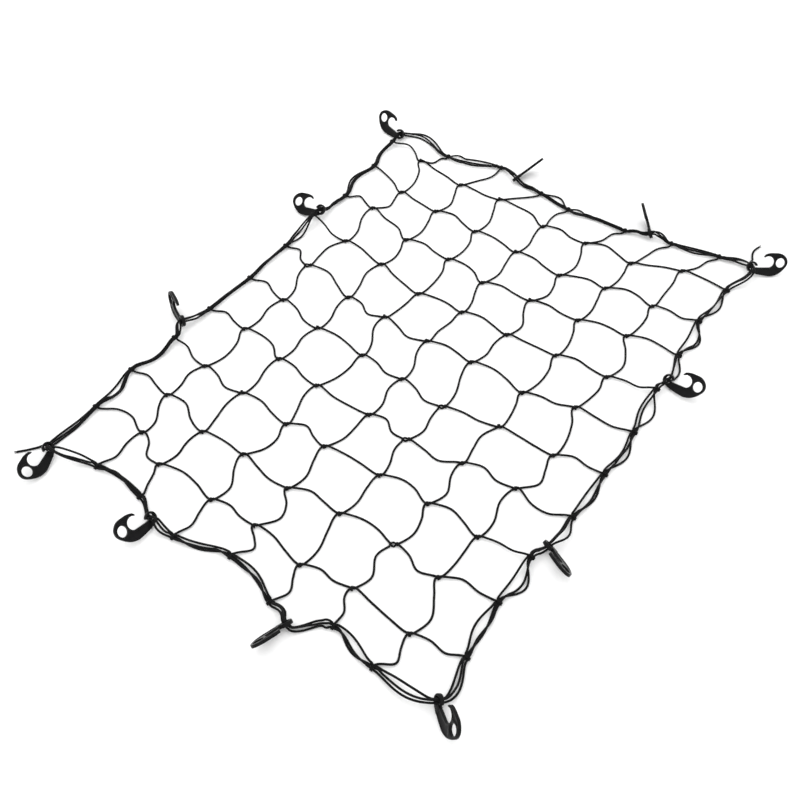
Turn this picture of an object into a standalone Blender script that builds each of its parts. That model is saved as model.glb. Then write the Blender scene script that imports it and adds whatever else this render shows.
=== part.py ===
"""Cargo net: a knotted mesh of elastic cord, a doubled border cord and twelve moulded hooks.

The net lies spread on the ground, 8 cells wide along X and 11 cells long along Y. North is +Y.
Lengths are millimetres and angles degrees. MM turns a length into metres when a mesh is made.
"""

import math

import bmesh
import bpy
from mathutils import Matrix, Vector

MM = 0.001
UP = Vector((0.0, 0.0, 1.0))

# ---------------------------------------------------------------- driving dimensions
PITCH = 100.0                    # knot to knot, both ways
COLUMNS = 7                      # inner knots in a row
ROWS = 10                        # rows of inner knots
HALF_WIDTH = PITCH * (COLUMNS + 1) / 2
HALF_LENGTH = PITCH * (ROWS + 1) / 2
ORIGIN = Vector((1.7, -2.5, 0.0))    # middle of the net's box, on the ground, from the even grid's middle

CORD = 3.3                       # side of the square solid of a cord that measures 4 mm across
CORD_RADIUS = 2.0                # the round solid of a free end
CORD_GAP = 0.9                   # between two cords that run side by side
LYING = CORD / 2                 # height of the middle of a cord on the ground

KNOT_TURN = 36.0                 # all inner knots were drawn tight along this heading
KNOT_END = 7.5                   # half a knot's length
KNOT_BODY = 3.5                  # half the length of its thick middle
KNOT_WIDE = 9.5
KNOT_HIGH = 6.5
KNOT_SHOULDER = (1.2, 1.4)       # its upper corners lie this far in and down
KNOT_RIDGE = 1.2                 # and its ridge this far off the middle, to one side or the other
STRAND_TURN = 20.0               # a strand leaves its knot this far off the knot's own axis
STRAND_SLACK = 0.9               # how far its direction there carries the plain curve, in lengths of it
STRAND_BEND = 0.8                # and the strand itself, in lengths of its first or last third

BAND_HALF = 4.0                  # half the length of the hitch that ties the mesh to the border
BAND_CENTRE = 4.2                # height of the border cord inside a hitch that lies on the ground
BAND_OUTER = ((6.6, -4.2), (6.6, 2.4), (3.2, 4.8), (-3.2, 4.8), (-6.6, 2.4), (-6.6, -4.2))
BAND_INNER = ((4.3, -2.2), (4.3, 2.2), (2.0, 2.6), (-2.0, 2.6), (-4.3, 2.2), (-4.3, -2.2))
BAND_STRAIGHT = 4.8              # the border cord runs straight this far from a hitch's middle
CLAW_STRAIGHT = 5.0              # and this far from a claw's middle
CLAW_PLAY = 0.3                  # how far the border leans off the claw's axis, towards its way on

# ---------------------------------------------------------------- how the net fell
# Each row of knots lies this far east of the even grid, and each column this far north.
ROW_SHIFT = (-2, 3, -4, 7, -4, 11, 1, 0, -5, 3)
COLUMN_SAG = (13, -6, -9, -12, -10, 0, 10)

# Knots that lie apart from their row and column: (row, column): (east, north).
STRAY_KNOTS = {
    (0, 1): (-14, -4), (0, 3): (-7, 12), (0, 4): (10, -2), (0, 5): (5, 3), (0, 6): (7, -4),
    (0, 7): (-2, 26), (1, 1): (7, -12), (1, 5): (4, -7), (1, 6): (-6, 5), (1, 7): (-10, 6),
    (2, 1): (-5, 12), (2, 2): (8, -6), (2, 3): (9, 1), (2, 4): (-1, -11), (2, 7): (-7, 9),
    (3, 2): (-2, 8), (3, 3): (5, -12), (4, 1): (-6, 1), (4, 2): (12, -2), (4, 5): (-6, 5),
    (4, 6): (7, -11), (4, 7): (0, 6), (5, 3): (8, 0), (5, 5): (-5, -11), (5, 7): (6, -6),
    (6, 3): (-5, -5), (6, 4): (11, 1), (6, 5): (-5, -6), (7, 1): (3, -11), (7, 3): (8, -3),
    (7, 4): (-9, 2), (7, 5): (3, 8), (7, 7): (1, -14), (8, 2): (6, -4), (8, 3): (-5, 5),
    (8, 5): (0, 10), (8, 6): (6, 6), (8, 7): (-4, -10), (9, 1): (15, 15), (9, 2): (-14, 3),
    (9, 3): (5, 6), (9, 4): (-5, 14), (9, 6): (-9, 6), (9, 7): (7, -13),
}

# The hitches of each side, from its west or north end: (east, north) of the even grid.
EDGE_STRAY = {
    "north": ((25, -44), (39, -8), (53, -30), (25, -40), (51, -28), (45, -7), (39, 15)),
    "south": ((9, 31), (11, 31), (8, 8), (6, 36), (8, 12), (11, 38), (-2, 21)),
    "west": ((-1, 20), (12, 35), (22, 21), (17, 22), (19, 30),
             (21, 19), (14, 12), (15, 16), (2, 16), (13, 19)),
    "east": ((-8, 37), (-16, 31), (-9, 31), (-4, 31), (7, 27),
             (8, 20), (7, 16), (-8, 11), (-9, 18), (1, 15)),
}

# The border, clockwise: at each station, how far the outer border cord, the inner border cord and
# the mesh's own edge strand bow outwards halfway to the next station.
SPANS = (
    ("hook_corner_nw", 27, 23, 19), ("north_1", 9, -4, -8), ("north_2", 0, 0, 0),
    ("hook_north_1", 1, 0, -4), ("north_3", 9, 0, -2), ("north_4", 6, 3, 0),
    ("north_5", 3, 0, 0), ("hook_north_2", 9, 0, 0), ("north_6", 6, 0, -8),
    ("north_7", 18, 11, 6), ("hook_corner_ne", 14, 10, 6), ("east_1", 12, 2, 1),
    ("east_2", 18, 15, -5), ("east_3", 9, 0, 0), ("hook_east_1", 0, 0, 0),
    ("east_4", 15, -5, -11), ("east_5", 14, 4, 0), ("east_6", 10, 6, -6),
    ("east_7", 13, 0, -4), ("hook_east_2", 2, -2, -6), ("east_8", 20, 12, -5),
    ("east_9", 3, 2, -14), ("east_10", 15, 10, 3), ("hook_corner_se", 18, 13, 1),
    ("south_7", 3, 2, -10), ("south_6", 4, 0, -4), ("hook_south_2", 2, 0, -4),
    ("south_5", -4, -5, -8), ("south_4", 4, 0, -5), ("south_3", 8, 2, -4),
    ("hook_south_1", 0, 0, 0), ("south_2", -8, -9, -10), ("south_1", 8, 7, -6),
    ("hook_corner_sw", 11, 5, 0), ("west_10", 0, -12, -16), ("west_9", -8, -11, -13),
    ("west_8", 5, 1, -3), ("hook_west_2", 1, -3, -7), ("west_7", 4, -1, -2),
    ("west_6", 4, 0, 0), ("west_5", 9, 3, -9), ("west_4", 0, 0, 0),
    ("hook_west_1", 0, 0, 0), ("west_3", 10, 5, 3), ("west_2", 8, 4, 4),
    ("west_1", 0, 0, 0),
)

# A hitch beside a hook is held up by it: height of the border cord in it.
LIFTED = {"west_1": 10.0, "west_4": 20.0, "east_4": 11.0, "east_8": 11.0, "west_8": 9.0}

# The hooks: the claw's middle (east, north), then the heading, pitch and roll of the shank.
HOOKS = {
    "hook_corner_nw": (-400, 498, 173, 4, 120),
    "hook_north_1": (-111, 525, 76, 9, 126),
    "hook_north_2": (199, 535, 128, 4, 67),
    "hook_corner_ne": (406, 563, 34, -5, 52),
    "hook_east_1": (403, 213, -10, 10, 50),
    "hook_east_2": (403, -207, -27, 6, 125),
    "hook_corner_se": (406, -515, -38, 9, 64),
    "hook_south_2": (154, -552, -104, 10, 56),
    "hook_south_1": (-143, -539, -87, 13, 134),
    "hook_corner_sw": (-379, -544, -69, -5, 143),
    "hook_west_2": (-395, -200, 156, -4, 101),
    "hook_west_1": (-380, 193, -167, -12, 139),
}


# ---------------------------------------------------------------- curves
def heading(degrees):
    """A level unit vector, turned anticlockwise from east."""
    return Vector((math.cos(math.radians(degrees)), math.sin(math.radians(degrees)), 0.0))


def hermite(start, leave, end, arrive, t):
    """The point at t on the cubic that leaves start and arrives at end along the given vectors."""
    return (start * (2 * t ** 3 - 3 * t ** 2 + 1) + leave * (t ** 3 - 2 * t ** 2 + t)
            + end * (3 * t ** 2 - 2 * t ** 3) + arrive * (t ** 3 - t ** 2))


def swell(t):
    """0 at both ends of a span, with no slope there, and 1 halfway."""
    return 16 * t ** 2 * (1 - t) ** 2


def ramp(t, low, high):
    """0 up to low, 1 from high, and an even rise between."""
    return min(max((t - low) / (high - low), 0.0), 1.0)


# ---------------------------------------------------------------- inner knots and their strands
def knot_centre(row, column):
    """Where the knot of this row (0 at the north) and column (1 at the west) lies."""
    east, north = STRAY_KNOTS.get((row, column), (0, 0))
    return Vector((
        (column - (COLUMNS + 1) / 2) * PITCH + ROW_SHIFT[row] + east,
        HALF_LENGTH - (row + 1) * PITCH + COLUMN_SAG[column - 1] + north,
        0.0,
    ))


# The four strands of a knot: which end of it each leaves from, and on which side.
PORTS = {"east": (1, -1), "north": (1, 1), "west": (-1, 1), "south": (-1, -1)}


def port_place(centre, port):
    """Middle of the square end from which a knot's strand grows."""
    end, side = PORTS[port]
    along = heading(KNOT_TURN) * (end * KNOT_END)
    across = heading(KNOT_TURN + 90) * (side * CORD / 2)
    return centre + along + across + UP * LYING


def port_heading(port):
    """Outward heading of a strand that turns away from the knot's long axis."""
    end, side = PORTS[port]
    return heading(KNOT_TURN + (0 if end > 0 else 180) + end * side * STRAND_TURN)


# The lie of every strand, read off at one third and at two thirds of its way: a letter tells how far
# it passes from the plain curve, in steps to the left of its travel, with "g" on that curve. Strands
# run from west to east in a row of knots, and from north to south in a column.
LIE_STEP = 3.0
ROW_LIE = (
    "mm fi gg im jh lk hh gg",
    "hk fh kj ij ii jk ll gd",
    "mk fl ji jl ji ih jj ji",
    "gg hi eh ij jj gh ji gd",
    "li kk gd ed jj jk hf ed",
    "lj gg ij gf fe hg gh jg",
    "lj jm hh eg jg ec jg aa",
    "ih fe ii lj hi kl kk ge",
    "kj ji hi ef kj jk fd jg",
    "mn fe jk ih hi ig fh gd",
)
COLUMN_LIE = (
    "ej hg fg cc cg bd dg",
    "mi kj ki ih lj jh jf",
    "kl ki li ji lk jh kh",
    "hg ki lh ig jj kh mk",
    "ed fe ig ie hh li kh",
    "hg hg gf hg ig jg lh",
    "gg gg ki gg ii ed lm",
    "mj hg ge ji gf ij gg",
    "ff ge mk ji ih lj ig",
    "ih hh jj ml jh fi lk",
    "jl jg kl kl kl ij jm",
)


class Strand:
    """A strand of the mesh, from one knot or hitch to the next."""

    def __init__(self, first, second, letters, hitched):
        self.first = first
        self.second = second
        self.start, self.leave = outlet(*first, hitched)
        self.end, inward = outlet(*second, hitched)
        self.arrive = -inward
        reach = (self.end - self.start).length * STRAND_SLACK
        left = UP.cross(self.end - self.start).normalized()
        near, far = (
            hermite(self.start, self.leave * reach, self.end, self.arrive * reach, t)
            + left * ((ord(letter) - ord("g")) * LIE_STEP)
            for t, letter in zip((1 / 3, 2 / 3), letters)
        )
        self.places = [self.start, near, far, self.end]
        self.pulls = [
            self.leave * ((near - self.start).length * STRAND_BEND),
            (far - self.start) / 2,
            (self.end - near) / 2,
            self.arrive * ((self.end - far).length * STRAND_BEND),
        ]

    def at(self, t):
        """The middle of the strand at t: a smooth curve through its third points."""
        third = min(int(t * 3), 2)
        point = hermite(self.places[third], self.pulls[third],
                        self.places[third + 1], self.pulls[third + 1], t * 3 - third)
        point.z = max(point.z, LYING)
        return point


def outlet(place, port, hitched):
    """Where a strand leaves a knot or a hitch, and its direction there."""
    if port == "mesh":
        low, high = BAND_OUTER[0], BAND_OUTER[1]
        return hitched[place].at(0.0, low[0], (low[1] + high[1]) / 2), hitched[place].right
    return port_place(knot_centre(*place), port), port_heading(port)


def mesh_strands(hitched):
    """All strands that cross the net, row by row and then column by column."""
    strands = []
    for row, letters in enumerate(ROW_LIE):
        ends = [(f"west_{row + 1}", "mesh")]
        for column in range(1, COLUMNS + 1):
            ends += [((row, column), "west"), ((row, column), "east")]
        ends.append((f"east_{row + 1}", "mesh"))
        strands += [Strand(ends[2 * i], ends[2 * i + 1], pair, hitched)
                    for i, pair in enumerate(letters.split())]
    for column in range(1, COLUMNS + 1):
        ends = [(f"north_{column}", "mesh")]
        for row in range(ROWS):
            ends += [((row, column), "north"), ((row, column), "south")]
        ends.append((f"south_{column}", "mesh"))
        strands += [Strand(ends[2 * i], ends[2 * i + 1], letters.split()[column - 1], hitched)
                    for i, letters in enumerate(COLUMN_LIE)]
    return strands


# ---------------------------------------------------------------- hooks
CLAW_HALF = 3.3                  # half the thickness of a hook's claw
PLATE_HALF = 2.6                 # half the thickness of its shank and finger
CLAW_DOME = (0.3, -0.7, 10.8)    # middle and radius of the claw's round back
CHANNEL_RADIUS = 6.4             # the border cords pass through the channel
SLOT = (-1.2, 1.9)               # lower and upper side of the slot that they snap in through
CLAW_END = 12.0                  # the claw's thick part ends here on the shank
MOUTH = (31.3, 11.3, 10.9)       # middle and radius of the mouth's round end
HOLE = (54.4, 11.5, 9.3)         # the round hole in the head
TIP = ((32.0, 22.3), (28.3, 22.3), (23.0, 19.7), (21.2, 19.8), (23.7, 25.3))
FINGER_BACK = ((27.8, 27.4), (34.0, 29.0), (41.4, 29.5), (49.6, 29.9), (56.7, 28.2), (62.5, 24.3),
               (66.4, 19.5), (68.0, 13.3), (67.1, 7.7), (63.9, 1.9), (58.4, -5.1), (50.5, -11.7),
               (42.2, -15.0), (35.2, -16.1), (23.0, -15.5))


def arc(middle_p, middle_q, radius, start, stop, steps):
    """Points along an arc, from one angle to the other, both ends included."""
    return [
        (middle_p + radius * math.cos(math.radians(start + (stop - start) * i / steps)),
         middle_q + radius * math.sin(math.radians(start + (stop - start) * i / steps)))
        for i in range(steps + 1)
    ]


def claw_outline():
    """The claw: a round back, a lip over the slot and the channel for the border cords."""
    back = arc(*CLAW_DOME, -97, -330, 8)
    lip = [(10.1, 5.0), (10.1, SLOT[1])]
    slot_ends = [math.degrees(math.asin(side / CHANNEL_RADIUS)) for side in SLOT]
    channel = arc(0.0, 0.0, CHANNEL_RADIUS, slot_ends[1], 360 + slot_ends[0], 8)
    shank = [(CLAW_END, SLOT[0]), (CLAW_END, -14.9)]
    return back[:-1] + lip + channel + shank


def plate_outline():
    """The shank, the mouth's round end, the finger with its tip and the head's round back."""
    root = [(CLAW_END - 3, -14.2), (CLAW_END - 3, SLOT[0] - 0.3)]
    return root + arc(*MOUTH, -75, 85, 7) + list(TIP) + list(FINGER_BACK)


def hook_axes(name):
    """Unit vectors of a hook: along its shank, towards its mouth's side and through its thickness."""
    _, _, turn, pitch, roll = HOOKS[name]
    level = math.cos(math.radians(pitch))
    shank = heading(turn) * level + UP * math.sin(math.radians(pitch))
    side = UP.cross(shank).normalized()
    rise = shank.cross(side)
    mouth = side * math.cos(math.radians(roll)) + rise * math.sin(math.radians(roll))
    return shank, mouth, shank.cross(mouth)


def hook_place(name):
    """Middle of a hook's claw, at the height where the hook just touches the ground."""
    shank, mouth, thick = hook_axes(name)
    lowest = min(
        p * shank.z + q * mouth.z - half * abs(thick.z)
        for outline, half in ((claw_outline(), CLAW_HALF), (plate_outline(), PLATE_HALF))
        for p, q in outline
    )
    return Vector((HOOKS[name][0], HOOKS[name][1], -lowest))


# ---------------------------------------------------------------- border stations and spans
class Station:
    """A hitch or a claw that the border passes through: its place, direction and straight part."""

    def __init__(self, name, place, travel, straight):
        self.name = name
        self.place = place
        self.travel = travel
        self.right = travel.cross(UP).normalized()
        self.up = self.right.cross(travel)
        self.straight = straight
        self.is_hook = name in HOOKS

    def at(self, along, right, up):
        """A point in the station's own frame: along the border, towards the mesh, and upwards."""
        return self.place + self.travel * along + self.right * right + self.up * up


def station_place(name):
    """Where the middle of the border bundle passes through a station."""
    if name in HOOKS:
        return hook_place(name)
    side, number = name.split("_")
    number = int(number)
    east, north = EDGE_STRAY[side][number - 1]
    if side in ("north", "south"):
        grid = Vector(((number - (COLUMNS + 1) / 2) * PITCH, HALF_LENGTH, 0.0))
        grid.y *= 1 if side == "north" else -1
    else:
        grid = Vector((HALF_WIDTH, HALF_LENGTH - number * PITCH, 0.0))
        grid.x *= 1 if side == "east" else -1
    return grid + Vector((east, north, LIFTED.get(name, BAND_CENTRE)))


def border_stations():
    """All stations of the border, clockwise from the north-west corner."""
    names = [row[0] for row in SPANS]
    places = [station_place(name) for name in names]
    stations = []
    for i, name in enumerate(names):
        onward = places[(i + 1) % len(places)] - places[i - 1]
        onward.z = 0.0
        if name in HOOKS:
            travel = hook_axes(name)[2]
            travel = travel if travel.dot(onward) > 0 else -travel
            travel = (travel + onward.normalized() * CLAW_PLAY).normalized()
            stations.append(Station(name, places[i], travel, CLAW_STRAIGHT))
        else:
            stations.append(Station(name, places[i], onward.normalized(), BAND_STRAIGHT))
    return stations


SIDE_BY_SIDE = CORD + CORD_GAP
# Where the strands run in a hitch and in a claw: towards the mesh and up from the bundle's middle.
IN_HITCH = {"outer": (-2.15, 0.0), "inner": (1.95, 0.0), "edge": (6.15, 0.0)}
IN_CLAW = {"outer": (-2.05, -1.35), "inner": (0.0, 2.85), "edge": (2.05, -1.35)}
CHANGE_START = 0.25              # between a hitch and a claw the strands change places by first
CHANGE_TURN = 0.62               # rising past each other and then sliding over
LONG_SPAN = 70.0                 # longer spans beside a claw have more cross-sections
SHORT_SPAN = 35.0                # and all but the shortest have one more where they leave
STEEP_CLAW = 0.45                # a claw that slopes more than this


def slot(strand, first, second, t):
    """Where a strand runs in the bundle at t of a span: towards the mesh and up."""
    if not first.is_hook and not second.is_hook:
        return IN_HITCH[strand]
    towards_claw = t if second.is_hook else 1 - t
    slide = ramp(towards_claw, CHANGE_TURN, 1.0)
    rise = ramp(towards_claw, CHANGE_START, CHANGE_TURN)
    (hitch_right, hitch_up), (claw_right, claw_up) = IN_HITCH[strand], IN_CLAW[strand]
    return hitch_right + (claw_right - hitch_right) * slide, hitch_up + (claw_up - hitch_up) * rise


def span_point(strand, first, second, bow, t):
    """The middle of a border strand at t of the span between two stations."""
    start = first.at(first.straight, 0.0, 0.0)
    end = second.at(-second.straight, 0.0, 0.0)
    reach = (end - start).length * 0.9

    def middle(at):
        point = hermite(start, first.travel * reach, end, second.travel * reach, at)
        if not first.is_hook and not second.is_hook:
            point.z -= ((start.z + end.z) / 2 - LYING) * swell(at)
        return point

    def placed(at):
        ahead = middle(min(at + 0.01, 1.0)) - middle(max(at - 0.01, 0.0))
        right = ahead.cross(UP).normalized()
        up = right.cross(ahead).normalized()
        across, above = slot(strand, first, second, at)
        return middle(at) + right * across + up * above

    outward = -(second.place - first.place).cross(UP).normalized()
    halfway = (placed(0.5) - (first.place + second.place) / 2).dot(outward)
    point = placed(t) + outward * ((bow - halfway) * swell(t))
    point.z = max(point.z, LYING)
    return point


def span_steps(first, second):
    """Where along a span the solid's cross-sections stand."""
    if not first.is_hook and not second.is_hook:
        return (0.25, 0.5, 0.75)
    claw = second if second.is_hook else first
    length = (second.place - first.place).length
    steps = [CHANGE_START, CHANGE_TURN]
    if length > LONG_SPAN:
        steps += [0.45, 0.8]
    if length > SHORT_SPAN and abs(claw.travel.z) > STEEP_CLAW:
        steps.append(0.9)
    return sorted(steps if second.is_hook else [1 - t for t in steps])


def span_bows(index):
    """How far the three strands bow after a station, kept clear of each other."""
    _, outer, inner, edge = SPANS[index]
    return {
        "outer": max(outer, inner + SIDE_BY_SIDE),
        "inner": inner,
        "edge": min(edge, inner - SIDE_BY_SIDE),
    }


# ---------------------------------------------------------------- free ends of the border cord
# Each route starts beside the claw; hand-placed points (east, north, height).
TAILS = {
    "tail_west": ((-397, -540, 3.2), (-402, -548.5, 2.1), (-408, -557, 2.1),
                  (-414.5, -565.5, 2.1), (-424.5, -577, 2.1)),
    "tail_east": ((397, 582, 9), (397, 594, 5), (392.5, 605, 3), (389, 616, 2.1),
                  (388.5, 627, 2.1), (392, 640, 2.1)),
}


# ---------------------------------------------------------------- mesh tools
def add_ring(bm, points):
    """New corners in millimetres, none below the ground."""
    return [bm.verts.new(Vector((p.x, p.y, max(p.z, 0.0))) * MM) for p in points]


def square_ring(bm, middle, travel):
    """The four corners of a cord's square section, across its direction of travel."""
    right = travel.cross(UP).normalized()
    up = right.cross(travel).normalized()
    half = CORD / 2
    return add_ring(bm, [middle + right * (x * half) + up * (y * half)
                         for x, y in ((-1, -1), (1, -1), (1, 1), (-1, 1))])


def in_travel_order(verts, travel):
    """Four corners of a face, in the order that square_ring gives them."""
    middle = sum((v.co for v in verts), Vector()) / 4
    right = travel.cross(UP)
    return sorted(verts, key=lambda v: math.atan2((v.co - middle).dot(UP), (v.co - middle).dot(right)))


def bridge(bm, first, second):
    """Side faces between two rings of equal length."""
    count = len(first)
    for i in range(count):
        bm.faces.new((first[i], first[(i + 1) % count], second[(i + 1) % count], second[i]))


def bridge_all(bm, rings):
    """Side faces along a run of rings."""
    for first, second in zip(rings, rings[1:]):
        bridge(bm, first, second)


def rings_along(bm, points):
    """Square sections at every point between the first and the last."""
    return [square_ring(bm, points[i], points[i + 1] - points[i - 1]) for i in range(1, len(points) - 1)]


def face_middle(verts):
    """Middle of some corners, in millimetres."""
    return sum((v.co for v in verts), Vector()) / (len(verts) * MM)


# ---------------------------------------------------------------- the mesh of the net
STRAND_STEPS = (0.2, 0.5, 0.8)   # where along a strand the solid's cross-sections stand


def add_knot(bm, row, column):
    """A knot as a ridged lump. Returns the square end of each of its four strands."""
    centre = knot_centre(row, column)
    along = heading(KNOT_TURN)
    across = heading(KNOT_TURN + 90)
    ridge = KNOT_RIDGE if (row + column) % 2 else -KNOT_RIDGE
    end = [(-CORD, 0), (0, 0), (CORD, 0), (CORD, CORD), (0, CORD), (-CORD, CORD)]
    wide = KNOT_WIDE / 2
    shoulder, high = wide - KNOT_SHOULDER[0], KNOT_HIGH - KNOT_SHOULDER[1]
    body = [(-wide, 0), (0, 0), (wide, 0), (shoulder, high), (ridge, KNOT_HIGH), (-shoulder, high)]
    rings = []
    for position, outline in ((-KNOT_END, end), (-KNOT_BODY, body), (KNOT_BODY, body), (KNOT_END, end)):
        rings.append(add_ring(bm, [centre + along * position + across * a + UP * z for a, z in outline]))
    bridge_all(bm, rings)
    ends = {}
    for port, (side_end, side) in PORTS.items():
        ring = rings[3] if side_end > 0 else rings[0]
        ends[(row, column), port] = [ring[i] for i in ((0, 1, 4, 5) if side < 0 else (1, 2, 3, 4))]
    return ends


def add_hitch(bm, station):
    """A band round the border cords. Returns the ends of the mesh strand and the two edge strands."""
    outer = []
    inner = []
    for along in (-BAND_HALF, BAND_HALF):
        outer.append(add_ring(bm, [station.at(along, *corner) for corner in BAND_OUTER]))
        inner.append(add_ring(bm, [station.at(along, *corner) for corner in BAND_INNER]))
    corners = len(BAND_OUTER)
    for i in range(corners):
        j = (i + 1) % corners
        bm.faces.new((inner[0][i], inner[0][j], inner[1][j], inner[1][i]))
        if i == 0:
            continue                 # this side carries the mesh strand and the edge strands
        bm.faces.new((outer[0][i], outer[0][j], outer[1][j], outer[1][i]))
        for end in (0, 1):
            bm.faces.new((outer[end][i], outer[end][j], inner[end][j], inner[end][i]))
    return {
        (station.name, "mesh"): [outer[0][0], outer[1][0], outer[1][1], outer[0][1]],
        (station.name, "back"): [outer[0][0], outer[0][1], inner[0][1], inner[0][0]],
        (station.name, "ahead"): [outer[1][0], outer[1][1], inner[1][1], inner[1][0]],
    }


def add_strand(bm, strand, ends):
    """A square strand between two open ends of knots or hitches."""
    points = [strand.start] + [strand.at(t) for t in STRAND_STEPS] + [strand.end]
    first = in_travel_order(ends[strand.first], strand.leave)
    second = in_travel_order(ends[strand.second], strand.arrive)
    bridge_all(bm, [first] + rings_along(bm, points) + [second])


def span_rings(bm, strand, index, stations):
    """Square sections of a border strand along the span after a station."""
    first = stations[index]
    second = stations[(index + 1) % len(stations)]
    bow = span_bows(index)[strand]
    rings = []
    for t in span_steps(first, second):
        before = span_point(strand, first, second, bow, t - 0.06)
        after = span_point(strand, first, second, bow, t + 0.06)
        rings.append(square_ring(bm, span_point(strand, first, second, bow, t), after - before))
    return rings


def station_rings(bm, strand, station):
    """The two square sections between which a strand runs straight through a station."""
    right, up = (IN_CLAW if station.is_hook else IN_HITCH)[strand]
    return [square_ring(bm, station.at(along, right, up), station.travel)
            for along in (-station.straight, station.straight)]


def add_edge_strands(bm, stations, ends):
    """The mesh's own edge strand, from hitch to hitch and through the claws."""
    for index, station in enumerate(stations):
        if station.is_hook:
            continue
        rings = [in_travel_order(ends[station.name, "ahead"], station.travel)]
        while True:
            rings += span_rings(bm, "edge", index, stations)
            index = (index + 1) % len(stations)
            onward = stations[index]
            if not onward.is_hook:
                break
            rings += station_rings(bm, "edge", onward)
        rings.append(in_travel_order(ends[onward.name, "back"], onward.travel))
        bridge_all(bm, rings)


def close_mesh(bm, name):
    """Turn all faces outwards and make the mesh."""
    bmesh.ops.triangulate(bm, faces=bm.faces)
    bmesh.ops.recalc_face_normals(bm, faces=bm.faces)
    mesh = bpy.data.meshes.new(name)
    bm.to_mesh(mesh)
    bm.free()
    return mesh


def net_mesh(stations):
    """Knots, hitches and every strand between them, as one closed body."""
    bm = bmesh.new()
    hitched = {station.name: station for station in stations if not station.is_hook}
    ends = {}
    for row in range(ROWS):
        for column in range(1, COLUMNS + 1):
            ends.update(add_knot(bm, row, column))
    for station in hitched.values():
        ends.update(add_hitch(bm, station))
    for strand in mesh_strands(hitched):
        add_strand(bm, strand, ends)
    add_edge_strands(bm, stations, ends)
    return close_mesh(bm, "mesh_net")


def border_mesh(strand, stations):
    """One turn of the border cord, threaded through every hitch and claw, as a closed loop."""
    bm = bmesh.new()
    rings = []
    for index, station in enumerate(stations):
        rings += station_rings(bm, strand, station) + span_rings(bm, strand, index, stations)
    bridge_all(bm, rings + rings[:1])
    return close_mesh(bm, f"border_cord_{strand}")


# ---------------------------------------------------------------- hooks and free ends
def prism(name, outline, half, hole=None):
    """A flat plate of the given outline, with an optional round hole through it."""
    bm = bmesh.new()
    loops = [outline] if hole is None else [outline, arc(*hole, 0, 324, 9)]
    edges = []
    for loop in loops:
        verts = [bm.verts.new((p * MM, q * MM, -half * MM)) for p, q in loop]
        edges += [bm.edges.new((verts[i - 1], verts[i])) for i in range(len(verts))]
    bmesh.ops.triangle_fill(bm, use_beauty=True, edges=edges)
    lifted = bmesh.ops.extrude_face_region(bm, geom=bm.faces[:])
    bmesh.ops.translate(bm, vec=(0.0, 0.0, 2 * half * MM),
                        verts=[g for g in lifted["geom"] if isinstance(g, bmesh.types.BMVert)])
    return close_mesh(bm, name)


def hook_mesh():
    """One hook: the plate with its hole, joined to the thicker claw."""
    plate = bpy.data.objects.new("hook_plate", prism("hook_plate", plate_outline(), PLATE_HALF, HOLE))
    claw = bpy.data.objects.new("hook_claw", prism("hook_claw", claw_outline(), CLAW_HALF))
    for piece in (plate, claw):
        bpy.context.scene.collection.objects.link(piece)
    union = plate.modifiers.new("claw", "BOOLEAN")
    union.operation = "UNION"
    union.solver = "EXACT"
    union.object = claw
    bpy.context.view_layer.update()
    mesh = bpy.data.meshes.new_from_object(plate.evaluated_get(bpy.context.evaluated_depsgraph_get()))
    mesh.name = "hook"
    for piece in (plate, claw):
        bpy.data.objects.remove(piece)
    return mesh


def tail_curve(name):
    """A free end of the border cord, as a round cord."""
    curve = bpy.data.curves.new(name, "CURVE")
    curve.dimensions = "3D"
    curve.bevel_depth = CORD_RADIUS * MM
    curve.bevel_resolution = 2
    curve.use_fill_caps = True
    spline = curve.splines.new("POLY")
    spline.points.add(len(TAILS[name]) - 1)
    for point, place in zip(spline.points, TAILS[name]):
        point.co = (*(Vector(place) * MM), 1.0)
    return curve


# ---------------------------------------------------------------- the object
def material(name, colour, roughness):
    """A plain surface of one colour."""
    made = bpy.data.materials.new(name)
    made.use_nodes = True
    shader = made.node_tree.nodes["Principled BSDF"]
    shader.inputs["Base Color"].default_value = (*colour, 1.0)
    shader.inputs["Roughness"].default_value = roughness
    shader.inputs["Metallic"].default_value = 0.0
    return made


def place_object(name, data, finish, parent, matrix=None):
    """A named piece under the net's empty."""
    piece = bpy.data.objects.new(name, data)
    bpy.context.scene.collection.objects.link(piece)
    if not data.materials:
        data.materials.append(finish)
    piece.parent = parent
    if matrix is not None:
        piece.matrix_local = matrix
    return piece


def hook_matrix(name):
    """Where a hook stands: its axes and the middle of its claw."""
    turn = Matrix([list(axis) for axis in hook_axes(name)]).transposed().to_4x4()
    return Matrix.Translation(hook_place(name) * MM) @ turn


def main():
    for old in list(bpy.data.objects):
        bpy.data.objects.remove(old)
    frame = bpy.data.objects.new("cargo_net", None)
    bpy.context.scene.collection.objects.link(frame)
    frame.location = -ORIGIN * MM

    black_cord = material("elastic_cord_black", (0.016, 0.016, 0.018), 0.8)
    border_cord = material("border_cord_black", (0.014, 0.014, 0.016), 0.8)
    black_plastic = material("moulded_black", (0.02, 0.02, 0.022), 0.45)

    stations = border_stations()
    place_object("mesh_net", net_mesh(stations), black_cord, frame)
    for strand in ("outer", "inner"):
        place_object(f"border_cord_{strand}", border_mesh(strand, stations), border_cord, frame)
    hook = hook_mesh()
    for name in HOOKS:
        place_object(name, hook, black_plastic, frame, hook_matrix(name))
    for name in TAILS:
        place_object(name, tail_curve(name), border_cord, frame)


main()
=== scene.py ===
"""Cargo net: a knotted mesh of black elastic cord with a doubled border cord and twelve hooks.

The net lies spread on the ground, 8 cells wide along X and 11 cells long along Y. North is +Y.
Lengths in the tables are millimetres and angles are degrees; MM turns a length into metres.
"""

import logging
import math
import random
from dataclasses import dataclass, field
from enum import Enum

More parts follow.
